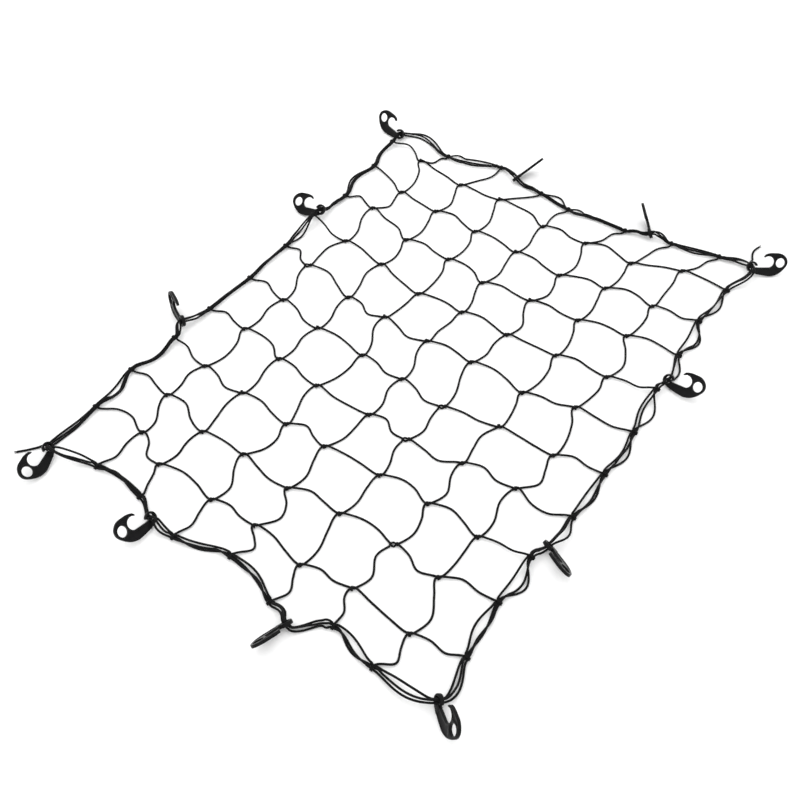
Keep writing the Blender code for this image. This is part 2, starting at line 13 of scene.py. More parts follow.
import bmesh
import bpy
from bpy.types import ID, Material, Mesh, Node, NodeSocket, NodeTree, Object
from mathutils import Matrix, Vector


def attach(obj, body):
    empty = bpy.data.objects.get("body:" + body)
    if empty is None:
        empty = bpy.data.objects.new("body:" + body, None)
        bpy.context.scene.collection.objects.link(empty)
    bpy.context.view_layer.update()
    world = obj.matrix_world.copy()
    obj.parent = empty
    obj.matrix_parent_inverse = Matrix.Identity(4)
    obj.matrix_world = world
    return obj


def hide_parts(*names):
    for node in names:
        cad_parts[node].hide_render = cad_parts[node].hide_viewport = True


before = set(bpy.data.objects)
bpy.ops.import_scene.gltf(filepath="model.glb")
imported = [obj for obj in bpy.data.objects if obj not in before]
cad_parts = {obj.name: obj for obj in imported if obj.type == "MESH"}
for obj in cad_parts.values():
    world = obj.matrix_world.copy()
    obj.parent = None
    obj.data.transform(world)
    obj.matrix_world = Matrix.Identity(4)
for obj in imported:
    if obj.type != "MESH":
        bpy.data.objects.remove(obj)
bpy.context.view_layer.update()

LOG = logging.getLogger("cargo_net")
MM = 0.001
UP = Vector((0.0, 0.0, 1.0))
SHARP = 40.0                         # edges that turn more than this, in degrees, are rounded
SAME_PLANE = 0.001                   # two faces that turn less than this, in radians, are one
ORIGIN = Vector((1.7, -2.5, 0.0))    # the object's origin, from the middle of the net's even grid


# ---------------------------------------------------------------- how the net fell
# Each row of knots lies this far east of the even grid, and each column this far north.
ROW_SHIFT = (-2, 3, -4, 7, -4, 11, 1, 0, -5, 3)
COLUMN_SAG = (13, -6, -9, -12, -10, 0, 10)

# Knots that lie apart from their row and column: (row, column): (east, north).
STRAY_KNOTS = {
    (0, 1): (-14, -4), (0, 3): (-7, 12), (0, 4): (10, -2), (0, 5): (5, 3), (0, 6): (7, -4),
    (0, 7): (-2, 26), (1, 1): (7, -12), (1, 5): (4, -7), (1, 6): (-6, 5), (1, 7): (-10, 6),
    (2, 1): (-5, 12), (2, 2): (8, -6), (2, 3): (9, 1), (2, 4): (-1, -11), (2, 7): (-7, 9),
    (3, 2): (-2, 8), (3, 3): (5, -12), (4, 1): (-6, 1), (4, 2): (12, -2), (4, 5): (-6, 5),
    (4, 6): (7, -11), (4, 7): (0, 6), (5, 3): (8, 0), (5, 5): (-5, -11), (5, 7): (6, -6),
    (6, 3): (-5, -5), (6, 4): (11, 1), (6, 5): (-5, -6), (7, 1): (3, -11), (7, 3): (8, -3),
    (7, 4): (-9, 2), (7, 5): (3, 8), (7, 7): (1, -14), (8, 2): (6, -4), (8, 3): (-5, 5),
    (8, 5): (0, 10), (8, 6): (6, 6), (8, 7): (-4, -10), (9, 1): (15, 15), (9, 2): (-14, 3),
    (9, 3): (5, 6), (9, 4): (-5, 14), (9, 6): (-9, 6), (9, 7): (7, -13),
}

# The hitches of each side, from its west or north end: (east, north) of the even grid.
EDGE_STRAY = {
    "north": ((25, -44), (39, -8), (53, -30), (25, -40), (51, -28), (45, -7), (39, 15)),
    "south": ((9, 31), (11, 31), (8, 8), (6, 36), (8, 12), (11, 38), (-2, 21)),
    "west": ((-1, 20), (12, 35), (22, 21), (17, 22), (19, 30),
             (21, 19), (14, 12), (15, 16), (2, 16), (13, 19)),
    "east": ((-8, 37), (-16, 31), (-9, 31), (-4, 31), (7, 27),
             (8, 20), (7, 16), (-8, 11), (-9, 18), (1, 15)),
}

# The border, clockwise: at each station, how far the outer border cord, the inner border cord and
# the mesh's own edge strand bow outwards halfway to the next station.
SPANS = (
    ("hook_corner_nw", 38, 27, 22), ("north_1", 9, -2, -12), ("north_2", 0, 0, 0),
    ("hook_north_1", 1, 0, -4), ("north_3", 18, -1, -4), ("north_4", 6, 3, 0),
    ("north_5", 3, 0, 0), ("hook_north_2", 12, 0, 0), ("north_6", 6, 0, -10),
    ("north_7", 18, 11, 6), ("hook_corner_ne", 14, 10, 6), ("east_1", 12, 2, 1),
    ("east_2", 20, 15, -3), ("east_3", 12, 0, 0), ("hook_east_1", 0, 0, 0),
    ("east_4", 15, -5, -11), ("east_5", 14, 5, 2), ("east_6", 10, 6, -6),
    ("east_7", 15, 3, 0), ("hook_east_2", 2, -2, -6), ("east_8", 20, 12, -5),
    ("east_9", 3, 2, -14), ("east_10", 15, 10, 3), ("hook_corner_se", 18, 13, 1),
    ("south_7", 6, 2, -10), ("south_6", 4, 0, -4), ("hook_south_2", -3, -7, -10),
    ("south_5", -7, -8, -15), ("south_4", 4, 0, -5), ("south_3", 8, 2, -4),
    ("hook_south_1", 0, 0, 0), ("south_2", -8, -9, -10), ("south_1", 8, 7, -6),
    ("hook_corner_sw", 11, 5, 0), ("west_10", 0, -12, -16), ("west_9", -8, -11, -13),
    ("west_8", 5, 1, -3), ("hook_west_2", 1, -3, -7), ("west_7", 4, -1, -2),
    ("west_6", 4, 0, 0), ("west_5", 9, 3, -9), ("west_4", 0, 0, 0),
    ("hook_west_1", 0, 0, 0), ("west_3", 19, 10, 8), ("west_2", 10, 6, 4),
    ("west_1", 0, 0, 0),
)

# Right after a hitch the border cords may part in a small eye: its share of the span and its bulge.
EYES = {"north_1": (0.3, 8.0), "north_4": (0.28, 7.0), "south_6": (0.2, 4.0)}

# A hitch beside a hook is held up by it: height of the border cord in it.
LIFTED = {"west_1": 10.0, "west_4": 20.0, "east_4": 11.0, "east_8": 11.0, "west_8": 9.0}

# The hooks: the claw's middle (east, north), then the heading, pitch and roll of the shank.
HOOKS = {
    "hook_corner_nw": (-400, 498, 173, 4, 120),
    "hook_north_1": (-111, 525, 76, 9, 126),
    "hook_north_2": (199, 535, 128, 4, 67),
    "hook_corner_ne": (406, 563, 34, -5, 52),
    "hook_east_1": (403, 213, -10, 10, 50),
    "hook_east_2": (403, -207, -27, 6, 125),
    "hook_corner_se": (406, -515, -38, 9, 64),
    "hook_south_2": (154, -552, -104, 10, 56),
    "hook_south_1": (-143, -539, -87, 13, 134),
    "hook_corner_sw": (-379, -544, -69, -5, 143),
    "hook_west_2": (-395, -200, 156, -4, 101),
    "hook_west_1": (-380, 193, -167, -12, 139),
}

# The lie of every strand, read off at one third and at two thirds of its way: a letter tells how far
# it passes from the plain curve, in steps to the left of its travel, with "g" on that curve. Strands
# run from west to east in a row of knots, and from north to south in a column.
LIE_STEP = 3.0
THIRDS = (1 / 3, 2 / 3)
EXTRA = 1.1                          # a lying cord is at most this much longer than the straight way
ROW_LIE = (
    "mm fi gg im jh lk hh gg",
    "hk fh kj ij ii jk ll gd",
    "mk fl ji jl ji ih jj ji",
    "gg hi eh ij jj gh ji gd",
    "li kk gd ed jj jk hf ed",
    "lj gg ij gf fe hg gh jg",
    "lj jm hh eg jg ec jg aa",
    "ih fe ii lj hi kl kk ge",
    "kj ji hi ef kj jk fd jg",
    "mn fe jk ih hi ig fh gd",
)
COLUMN_LIE = (
    "ej hg fg cc cg bd dg",
    "mi kj ki ih lj jh jf",
    "kl ki li ji lk jh kh",
    "hg ki lh ig jj kh mk",
    "ed fe ig ie hh li kh",
    "hg hg gf hg ig jg lh",
    "gg gg ki gg ii ed lm",
    "mj hg ge ji gf ij gg",
    "ff ge mk ji ih lj ig",
    "ih hh jj on jh fi lk",
    "jl jg kl np kl ij lo",
)

# Knots that were drawn tight only at one end and show an open eye: (row, column).
OPEN_KNOTS = {(4, 1), (5, 5), (6, 5), (8, 6)}

# Knots whose lump shows on the far side; the others' hangs on the near side: (row, column).
NUB_ABOVE = {(0, 1), (0, 3), (1, 4), (2, 5), (4, 3), (4, 4), (5, 2), (5, 6), (7, 2)}

# The border cord's free ends: (east, north, height).
TAILS = {
    "tail_west": ((-397, -540, 3.2), (-402, -548.5, 2.1), (-408, -557, 2.1),
                  (-414.5, -565.5, 2.1), (-424.5, -577, 2.1)),
    "tail_east": ((397, 582, 9), (397, 594, 5), (392.5, 605, 3), (389, 616, 2.1),
                  (388.5, 627, 2.1), (392, 640, 2.1)),
}


# ---------------------------------------------------------------- curves
def to_frame(place: Vector) -> Vector:
    """Return a place on the net in the shared frame, in metres."""
    return (place - ORIGIN) * MM


def heading(degrees: float) -> Vector:
    """Return the level unit vector at an angle, anticlockwise from east."""
    return Vector((math.cos(math.radians(degrees)), math.sin(math.radians(degrees)), 0.0))


def hermite(start: Vector, leave: Vector, end: Vector, arrive: Vector, t: float) -> Vector:
    """Return the point at t, from 0 to 1, of the cubic that leaves and arrives along two vectors."""
    return (start * (2 * t ** 3 - 3 * t ** 2 + 1) + leave * (t ** 3 - 2 * t ** 2 + t)
            + end * (3 * t ** 2 - 2 * t ** 3) + arrive * (t ** 3 - t ** 2))


def through(places: list[Vector], steps: int) -> list[Vector]:
    """Draw a smooth curve through places.

    Args:
        places: What it passes through.
        steps: How many pieces it has from each place to the next.

    Returns:
        Its points, without the last place.
    """
    points = []
    for i in range(len(places) - 1):
        before, after = places[max(i - 1, 0)], places[min(i + 2, len(places) - 1)]
        here, onward = places[i], places[i + 1]
        points += [hermite(here, (onward - before) / 2, onward, (after - here) / 2, step / steps)
                   for step in range(steps)]
    return points


def swell(t: float) -> float:
    """Return 0 at both ends of a span, with no slope there, and 1 halfway."""
    return 16 * t ** 2 * (1 - t) ** 2


def ramp(t: float, low: float, high: float) -> float:
    """Return 0 up to low, 1 from high, and an even rise between."""
    return min(max((t - low) / (high - low), 0.0), 1.0)


def ease(t: float) -> float:
    """Return a smooth rise from 0 to 1."""
    t = min(max(t, 0.0), 1.0)
    return t * t * (3 - 2 * t)


class Run(Enum):
    """The three strands that run along the border."""

    OUTER = 1
    INNER = 2
    EDGE = 3


class Port(Enum):
    """The four strands of a knot: which end of it each leaves from, and on which side."""

    EAST = (1, -1)
    NORTH = (1, 1)
    WEST = (-1, 1)
    SOUTH = (-1, -1)


@dataclass
class CordPath:
    """The middle line of a length of cord.

    Attributes:
        points: Places along it, in millimetres.
        radii: The cord's radius at each, in millimetres; it is squeezed in knots.
        closed: Whether its end joins its start.
    """

    points: list[Vector] = field(default_factory=list)
    radii: list[float] = field(default_factory=list)
    closed: bool = False

    def add(self, point: Vector, radius: float) -> None:
        """Lay the cord on to a further point, never below the ground.

        Args:
            point: The place.
            radius: The cord's radius there.
        """
        self.points.append(Vector((point.x, point.y, max(point.z, radius))))
        self.radii.append(radius)

    def relax(self, times: int) -> None:
        """Ease the cord's sharp turns, as its own springiness does.

        Args:
            times: How often each place moves a quarter of the way to its neighbours' middle.
        """
        count = len(self.points)
        for _ in range(times):
            old = list(self.points)
            for i in range(0 if self.closed else 1, count if self.closed else count - 1):
                before, after = old[i - 1], old[(i + 1) % count]
                self.points[i] = old[i] / 2 + (before + after) / 4


# ---------------------------------------------------------------- hooks: where they lie
@dataclass(frozen=True)
class HookShape:
    """Sizes of a moulded hook, in its own plane: p along the shank, q towards the mouth's side."""

    claw_half: float = 3.3
    plate_half: float = 2.6
    claw_dome: tuple = (0.3, -0.7, 10.8)
    channel_radius: float = 6.4
    slot: tuple = (-1.2, 1.9)
    claw_end: float = 12.0
    mouth: tuple = (31.3, 11.3, 10.9)
    hole: tuple = (54.4, 11.5, 9.3)
    boss: float = 11.5
    rim: float = 2.0
    recess: float = 1.0
    dome_turn: tuple = (-97, -330)   # angles at which the claw's round back begins and ends
    lip: tuple = (10.1, 5.0)
    claw_foot: float = -14.9
    root: tuple = (3.0, -14.2, 0.3)  # the shank goes this far into the claw, and is a little narrower
    mouth_turn: tuple = (-75, 85)
    shank_field: tuple = ((13.8, -12.4), (23.0, -13.4), (35.0, -14.0), (41.4, -13.1), (49.4, -9.9),
                          (54.2, -6.0))
    shank_end: tuple = (13.8, -3.4)
    finger_field: tuple = ((29.6, 25.0), (34.0, 27.0), (41.4, 27.6), (49.4, 28.0), (55.4, 26.7),
                           (58.4, 24.6))
    tip: tuple = ((32.0, 22.3), (28.3, 22.3), (25.4, 21.3), (23.0, 19.7), (21.4, 19.4),
                  (21.0, 20.2), (22.0, 22.6), (23.7, 25.3))
    back: tuple = ((27.8, 27.4), (34.0, 29.0), (41.4, 29.5), (49.6, 29.9), (56.7, 28.2), (62.5, 24.3),
                   (66.4, 19.5), (68.0, 13.3), (67.1, 7.7), (63.9, 1.9), (58.4, -5.1), (50.5, -11.7),
                   (42.2, -15.0), (35.2, -16.1), (23.0, -15.5))

    @staticmethod
    def arc(circle: tuple, start: float, stop: float, steps: int, grow: float = 0.0) -> list:
        """Follow a circle.

        Args:
            circle: Its middle and radius.
            start: First angle.
            stop: Last angle.
            steps: How many pieces the arc has.
            grow: Added to the radius.

        Returns:
            The points, both ends included.
        """
        p, q, radius = circle
        angles = [math.radians(start + (stop - start) * i / steps) for i in range(steps + 1)]
        return [(p + (radius + grow) * math.cos(a), q + (radius + grow) * math.sin(a)) for a in angles]

    def claw_outline(self) -> list:
        """Return the claw: a round back, a lip over the slot and the channel for the cords."""
        back = self.arc(self.claw_dome, *self.dome_turn, 28)
        lip = [self.lip, (self.lip[0], self.slot[1])]
        ends = [math.degrees(math.asin(side / self.channel_radius)) for side in self.slot]
        channel = self.arc((0.0, 0.0, self.channel_radius), ends[1], 360 + ends[0], 28)
        foot = [(self.claw_end, self.slot[0]), (self.claw_end, self.claw_foot)]
        return back[:-1] + lip + channel + foot

    def plate_outline(self) -> list:
        """Return the shank, the mouth's round end, the finger with its tip and the round back."""
        depth, low, narrower = self.root
        root = [(self.claw_end - depth, low), (self.claw_end - depth, self.slot[0] - narrower)]
        rounded = [tuple(point) for point in through([Vector(place) for place in self.back], 3)]
        outer = [*self.tip, *rounded, self.back[-1]]
        return root + self.arc(self.mouth, *self.mouth_turn, 20) + outer

    def recess_outlines(self) -> list:
        """Return the two sunken fields of each face: on the shank and on the finger."""
        shank = [*self.shank_field, *self.arc(self.mouth, -32, -75, 6, self.rim), self.shank_end]
        round_boss = self.arc(self.hole, 72, 124, 5, self.boss - self.hole[2] + 0.6)
        finger = [*self.arc(self.mouth, 36, 85, 6, self.rim), *self.finger_field, *round_boss]
        return [shank, finger]


SHAPE = HookShape()


def hook_axes(name: str) -> tuple[Vector, Vector, Vector]:
    """Find how a hook is turned.

    Args:
        name: The hook.

    Returns:
        Unit vectors along its shank, towards its mouth's side and through its thickness.
    """
    _, _, turn, pitch, roll = HOOKS[name]
    shank = heading(turn) * math.cos(math.radians(pitch)) + UP * math.sin(math.radians(pitch))
    side = UP.cross(shank).normalized()
    rise = shank.cross(side)
    mouth = side * math.cos(math.radians(roll)) + rise * math.sin(math.radians(roll))
    return shank, mouth, shank.cross(mouth)


def coarse_outlines() -> list:
    """Return the outlines that touch the ground, with their half thickness."""
    plate = [(SHAPE.claw_end - SHAPE.root[0], SHAPE.root[1]), *SHAPE.tip[:1], *SHAPE.back]
    return [(SHAPE.claw_outline(), SHAPE.claw_half), (plate, SHAPE.plate_half)]


def hook_place(name: str) -> Vector:
    """Return the middle of a hook's claw, at the height where the hook just touches the ground."""
    shank, mouth, thick = hook_axes(name)
    lowest = min(p * shank.z + q * mouth.z - half * abs(thick.z)
                 for outline, half in coarse_outlines() for p, q in outline)
    return Vector((HOOKS[name][0], HOOKS[name][1], -lowest))


# ---------------------------------------------------------------- the net's layout
class Station:
    """A hitch or a claw that the border passes through: its place, direction and straight part."""

    def __init__(self, name: str, place: Vector, travel: Vector, straight: float) -> None:
        """Set the station up.

        Args:
            name: The hitch or hook.
            place: Middle of the bundle there.
            travel: The border's direction.
            straight: The bundle is straight this far both ways.
        """
        self.name = name
        self.place = place
        self.travel = travel
        self.right = travel.cross(UP).normalized()
        self.up = self.right.cross(travel)
        self.straight = straight
        self.is_hook = name in HOOKS

    def at(self, along: float, right: float, up: float) -> Vector:
        """Return the point this far along the border, towards the mesh and upwards."""
        return self.place + self.travel * along + self.right * right + self.up * up

    def thread(self, path: CordPath, place: tuple[float, float], radius: float, middle: float) -> None:
        """Carry a cord straight through the station.

        Args:
            path: The cord so far.
            place: Where it runs: towards the mesh and up.
            radius: Its radius at both ends.
            middle: Its radius halfway.
        """
        for along, girth in ((-self.straight, radius), (0.0, middle), (self.straight, radius)):
            path.add(self.at(along, *place), girth)


@dataclass(frozen=True)
class Outlet:
    """Where a strand leaves a knot or a hitch.

    Attributes:
        plain: Where the chart's plain curve begins.
        place: Where the cord itself comes out.
        leave: The outward direction.
    """

    plain: Vector
    place: Vector
    leave: Vector


@dataclass(frozen=True)
class NetLayout:
    """Where every knot, hitch and strand of the net lies."""

    pitch: float = 100.0
    columns: int = 7
    rows: int = 10
    lying: float = 2.0               # height of the middle of a cord on the ground
    knot_turn: float = 36.0          # all inner knots were drawn tight along this heading
    knot_end: float = 7.5            # the chart's plain curves begin this far from a knot's middle
    knot_half: float = 4.0           # and the cords come out of it this far
    strand_apart: float = 1.65       # two strands leave a knot's end this far to either side
    strand_turn: float = 20.0        # and turn this far off the knot's own axis
    # Where the cords themselves come out: across the knot and up. East and north leave together.
    cord_exits: dict = field(default_factory=lambda: {
        Port.EAST: (0.2, 5.0), Port.NORTH: (-0.2, 1.9), Port.WEST: (1.6, 2.0), Port.SOUTH: (-1.6, 2.0)})
    slack: float = 0.9               # how far an outlet's direction carries the plain curve
    bend: float = 0.45               # how much of that direction the cord keeps
    band_centre: float = 4.4         # height of the border cord in a hitch on the ground
    band_straight: float = 4.8
    band_side: tuple = (6.6, -0.9)   # where a strand of the mesh reaches a hitch
    claw_straight: float = 5.0
    claw_play: float = 0.3
    change_start: float = 0.25       # between a hitch and a claw the strands change places by first
    change_turn: float = 0.62        # rising past each other and then sliding over
    span_pull: float = 0.9           # how far a station's direction carries the border

    def knot_centre(self, row: int, column: int) -> Vector:
        """Find a knot.

        Args:
            row: 0 at the north.
            column: 1 at the west.

        Returns:
            The place on the ground below it.
        """
        east, north = STRAY_KNOTS.get((row, column), (0, 0))
        return Vector((
            (column - (self.columns + 1) / 2) * self.pitch + ROW_SHIFT[row] + east,
            (self.rows + 1) * self.pitch / 2 - (row + 1) * self.pitch + COLUMN_SAG[column - 1] + north,
            0.0,
        ))

    def knot_axes(self) -> tuple[Vector, Vector]:
        """Return the headings along and across the inner knots."""
        return heading(self.knot_turn), heading(self.knot_turn + 90)

    def port(self, centre: Vector, port: Port) -> Outlet:
        """Return where a strand leaves a knot."""
        end, side = port.value
        along, across = self.knot_axes()
        turn = self.knot_turn + (0 if end > 0 else 180) + end * side * self.strand_turn
        plain = centre + along * (end * self.knot_end) + across * (side * self.strand_apart)
        aside, height = self.cord_exits[port]
        place = centre + along * (end * self.knot_half) + across * aside + UP * height
        return Outlet(plain + UP * self.lying, place, heading(turn))

    def station_place(self, name: str) -> Vector:
        """Return where the middle of the border bundle passes through a station."""
        if name in HOOKS:
            return hook_place(name)
        side, number = name.split("_")
        number = int(number)
        east, north = EDGE_STRAY[side][number - 1]
        half_width = self.pitch * (self.columns + 1) / 2
        half_length = self.pitch * (self.rows + 1) / 2
        if side in ("north", "south"):
            grid = Vector(((number - (self.columns + 1) / 2) * self.pitch, half_length, 0.0))
            grid.y *= 1 if side == "north" else -1
        else:
            grid = Vector((half_width, half_length - number * self.pitch, 0.0))
            grid.x *= 1 if side == "east" else -1
        return grid + Vector((east, north, LIFTED.get(name, self.band_centre)))

    def stations(self) -> list[Station]:
        """Return all stations of the border, clockwise from the north-west corner."""
        names = [row[0] for row in SPANS]
        places = [self.station_place(name) for name in names]
        stations = []
        for i, name in enumerate(names):
            onward = places[(i + 1) % len(places)] - places[i - 1]
            onward.z = 0.0
            if name in HOOKS:
                travel = hook_axes(name)[2]
                travel = travel if travel.dot(onward) > 0 else -travel
                travel = (travel + onward.normalized() * self.claw_play).normalized()
                stations.append(Station(name, places[i], travel, self.claw_straight))
            else:
                stations.append(Station(name, places[i], onward.normalized(), self.band_straight))
        return stations

    def in_hitch(self, run: Run) -> tuple[float, float]:
        """Return where a border strand runs in a hitch: towards the mesh and up."""
        return {Run.OUTER: (-1.95, 0.0), Run.INNER: (1.85, 0.0), Run.EDGE: (4.7, 2.4)}[run]

    def in_claw(self, run: Run) -> tuple[float, float]:
        """Return where a border strand runs in a claw: towards the mesh and up."""
        return {Run.OUTER: (-2.7, -1.6), Run.INNER: (0.0, 3.05), Run.EDGE: (2.7, -1.6)}[run]

    def slot(self, run: Run, first: Station, second: Station, t: float) -> tuple[float, float]:
        """Find where a strand runs in the bundle of a span.

        Args:
            run: The strand.
            first: The span's first station.
            second: Its second station.
            t: 0 at the first and 1 at the second.

        Returns:
            How far it is towards the mesh, and how far up.
        """
        if not first.is_hook and not second.is_hook:
            return self.in_hitch(run)
        towards_claw = t if second.is_hook else 1 - t
        slide = ease(ramp(towards_claw, self.change_turn, 1.0))
        rise = ease(ramp(towards_claw, self.change_start, self.change_turn))
        (hitch_right, hitch_up), (claw_right, claw_up) = self.in_hitch(run), self.in_claw(run)
        return (hitch_right + (claw_right - hitch_right) * slide,
                hitch_up + (claw_up - hitch_up) * rise)

    def span_point(self, run: Run, first: Station, second: Station, bow: float, t: float) -> Vector:
        """Find the middle of a border strand in a span.

        Args:
            run: The strand.
            first: The span's first station.
            second: Its second station.
            bow: How far the strand lies outwards, halfway.
            t: 0 at the first and 1 at the second.

        Returns:
            The point.
        """
        start = first.at(first.straight, 0.0, 0.0)
        end = second.at(-second.straight, 0.0, 0.0)
        reach = (end - start).length * self.span_pull

        def middle(at: float) -> Vector:
            """Return the bundle's middle line."""
            point = hermite(start, first.travel * reach, end, second.travel * reach, at)
            if not first.is_hook and not second.is_hook:
                point.z -= ((start.z + end.z) / 2 - self.lying) * swell(at)
            return point

        def placed(at: float) -> Vector:
            """Return the strand's place beside that line."""
            ahead = middle(min(at + 0.01, 1.0)) - middle(max(at - 0.01, 0.0))
            right = ahead.cross(UP).normalized()
            up = right.cross(ahead).normalized()
            across, above = self.slot(run, first, second, at)
            return middle(at) + right * across + up * above

        outward = -(second.place - first.place).cross(UP).normalized()
        halfway = (placed(0.5) - (first.place + second.place) / 2).dot(outward)
        return placed(t) + outward * ((bow - halfway) * swell(t))


@dataclass(frozen=True)
class MeshStrand:
    """A strand of the mesh, from one knot or hitch to the next."""

    first: Outlet
    second: Outlet
    letters: str
    slack: float                     # how far its direction at an end carries the plain curve
    bend: float                      # how much of that direction the cord keeps, from 0 to 1

    def thirds(self) -> list[Vector]:
        """Return its two third points, from the chart."""
        start, end = self.first.plain, self.second.plain
        reach = (end - start).length * self.slack
        left = UP.cross(end - start).normalized()
        return [hermite(start, self.first.leave * reach, end, -self.second.leave * reach, t)
                + left * ((ord(letter) - ord("g")) * LIE_STEP)
                for t, letter in zip(THIRDS, self.letters)]

    def pull(self, leave: Vector, onward: Vector) -> Vector:
        """Return the direction and pull at an end, between its outlet's and straight on."""
        return leave * (onward.length * self.bend) + onward * (1 - self.bend)

    def lay(self, path: CordPath, radius: float, spacing: float) -> None:
        """Lay the cord along the strand.

        Args:
            path: The cord so far.
            radius: Its radius.
            spacing: How far apart its sections stand.
        """
        start, end = self.first.place, self.second.place
        near, far = self.thirds()
        places = [start, near, far, end]
        pulls = [self.pull(self.first.leave, near - start), (far - start) / 2,
                 (end - near) / 2, self.pull(-self.second.leave, end - far)]
        steps = max(round((end - start).length * EXTRA / spacing / 3), 2)
        for third in range(3):
            for i in range(0 if third else 1, steps):
                path.add(hermite(places[third], pulls[third], places[third + 1], pulls[third + 1],
                                 i / steps), radius)


# ---------------------------------------------------------------- finishes
def from_hex(colour: str) -> tuple[float, float, float, float]:
    """Turn an sRGB colour into Blender's linear one.

    Args:
        colour: Six hex digits after a hash.

    Returns:
        Red, green, blue and alpha.
    """
    channels = [int(colour[i:i + 2], 16) / 255 for i in (1, 3, 5)]
    linear = [c / 12.92 if c <= 0.04045 else ((c + 0.055) / 1.055) ** 2.4 for c in channels]
    return (*linear, 1.0)


def plug(tree: NodeTree, node: Node, inputs: dict) -> None:
    """Set a node's sockets.

    Args:
        tree: The tree it is in.
        node: The node.
        inputs: What its sockets get: a number, a colour, or another node's socket.
    """
    for key, value in inputs.items():
        if isinstance(value, NodeSocket):
            tree.links.new(value, node.inputs[key])
        else:
            node.inputs[key].default_value = value


def add_node(tree: NodeTree, kind: str, settings: dict | None = None,
             inputs: dict | None = None) -> Node:
    """Add a node with its settings and links.

    Args:
        tree: The tree it goes into.
        kind: Blender's name of the node.
        settings: Its properties.
        inputs: What its sockets get.

    Returns:
        The node.
    """
    node = tree.nodes.new(kind)
    for key, value in (settings or {}).items():
        setattr(node, key, value)
    plug(tree, node, inputs or {})
    return node


def reckon(tree: NodeTree, operation: str, *values: NodeSocket | float) -> NodeSocket:
    """Return the result of a new math node."""
    return add_node(tree, "ShaderNodeMath", {"operation": operation}, dict(enumerate(values))).outputs[0]


def speckle(tree: NodeTree, scale: float, detail: float, **more: float) -> NodeSocket:
    """Return a new noise on the piece's own Object coordinates."""
    place = add_node(tree, "ShaderNodeTexCoord")
    return add_node(tree, "ShaderNodeTexNoise", inputs={
        "Vector": place.outputs["Object"], "Scale": scale, "Detail": detail, **more}).outputs["Fac"]


def stretch(tree: NodeTree, value: NodeSocket, low: float, high: float,
            span: tuple = (0.0, 1.0)) -> NodeSocket:
    """Return a value with low to high mapped to a span."""
    mapped = add_node(tree, "ShaderNodeMapRange", inputs={
        "Value": value, "From Min": low, "From Max": high, "To Min": span[0], "To Max": span[1]})
    return mapped.outputs["Result"]


def blend(tree: NodeTree, value: NodeSocket, dark: str, light: str,
          ends: tuple = (0.0, 1.0)) -> NodeSocket:
    """Return a colour between two, by a value.

    Args:
        tree: The tree it goes into.
        value: What it follows.
        dark: The colour at the first end.
        light: The colour at the second end.
        ends: The values at which it is wholly dark and wholly light.

    Returns:
        The colour.
    """
    ramped = add_node(tree, "ShaderNodeValToRGB", inputs={"Fac": value})
    for element, colour, end in zip(ramped.color_ramp.elements, (dark, light), ends):
        element.position = end
        element.color = from_hex(colour)
    return ramped.outputs["Color"]


def start_material(name: str) -> tuple[Material, NodeTree, Node]:
    """Begin a material.

    Args:
        name: What it is made of.

    Returns:
        The material, its tree and its surface shader.
    """
    made = bpy.data.materials.new(name)
    made.use_nodes = True
    return made, made.node_tree, made.node_tree.nodes["Principled BSDF"]


@dataclass(frozen=True)
class BraidedElastic:
    """Black elastic cord: rubber threads in a braided polyester sheath.

    The braid gives it a dull, finely diamond-patterned face with a faint sheen. The diamonds
    are about 1.2 mm wide and 1.6 mm long. Its colour is painted darker in the weave's hollows and
    lighter on its crests: painted shade.
    """

    name: str = "braided_elastic_cord"
    # the colour in the weave's hollows and on its crests; the step between them is painted shade
    dark: str = "#020203"
    light: str = "#0f0f10"
    lobes: int = 5                   # pairs of diamonds around the cord
    diamond: float = 1.6             # length of a diamond, in millimetres
    relief: float = 0.9              # the weave's height is clipped here
    fuzz: tuple = (2600.0, 0.35)     # scale and strength of loose fibres
    wear: float = 38.0               # scale of faded patches
    fading: tuple = (0.75, 1.25)     # how much darker and lighter they are
    bump: tuple = (0.8, 0.00025)     # strength, and depth in metres
    roughness: float = 0.72
    sheen: tuple = (0.03, 0.5)       # weight and roughness
    gloss: float = 0.12

    def build(self) -> Material:
        """Make the material; it reads the cord's own "braid" attribute, set when it is swept."""
        made, tree, shader = start_material(self.name)
        braid = add_node(tree, "ShaderNodeAttribute", {"attribute_name": "braid"})
        parts = add_node(tree, "ShaderNodeSeparateXYZ", inputs={0: braid.outputs["Vector"]})
        turn = reckon(tree, "ARCTAN2", parts.outputs["Y"], parts.outputs["X"])
        around = reckon(tree, "MULTIPLY", turn, float(self.lobes))
        along = reckon(tree, "MULTIPLY", parts.outputs["Z"], math.pi / (self.diamond * MM))
        waves = [reckon(tree, "SINE", reckon(tree, operation, around, along))
                 for operation in ("ADD", "SUBTRACT")]
        height = stretch(tree, reckon(tree, "MULTIPLY", *waves), -self.relief, self.relief)
        scale, strength = self.fuzz
        # painted shade: the weave's height sets the colour, darker in its hollows; the loose-fibre
        # speckle is the fibres' own tone
        mixed = reckon(tree, "MULTIPLY_ADD", speckle(tree, scale, 2.0), strength, height)
        shade = stretch(tree, speckle(tree, self.wear, 3.0), 0.3, 0.7, self.fading)
        faded = add_node(tree, "ShaderNodeHueSaturation", inputs={
            "Color": blend(tree, mixed, self.dark, self.light), "Value": shade})
        bump = add_node(tree, "ShaderNodeBump", inputs={
            "Strength": self.bump[0], "Distance": self.bump[1], "Height": mixed})
        plug(tree, shader, {
            "Base Color": faded.outputs["Color"], "Normal": bump.outputs["Normal"],
            "Roughness": self.roughness, "Sheen Weight": self.sheen[0], "Sheen Roughness": self.sheen[1],
            "Specular IOR Level": self.gloss})
        return made


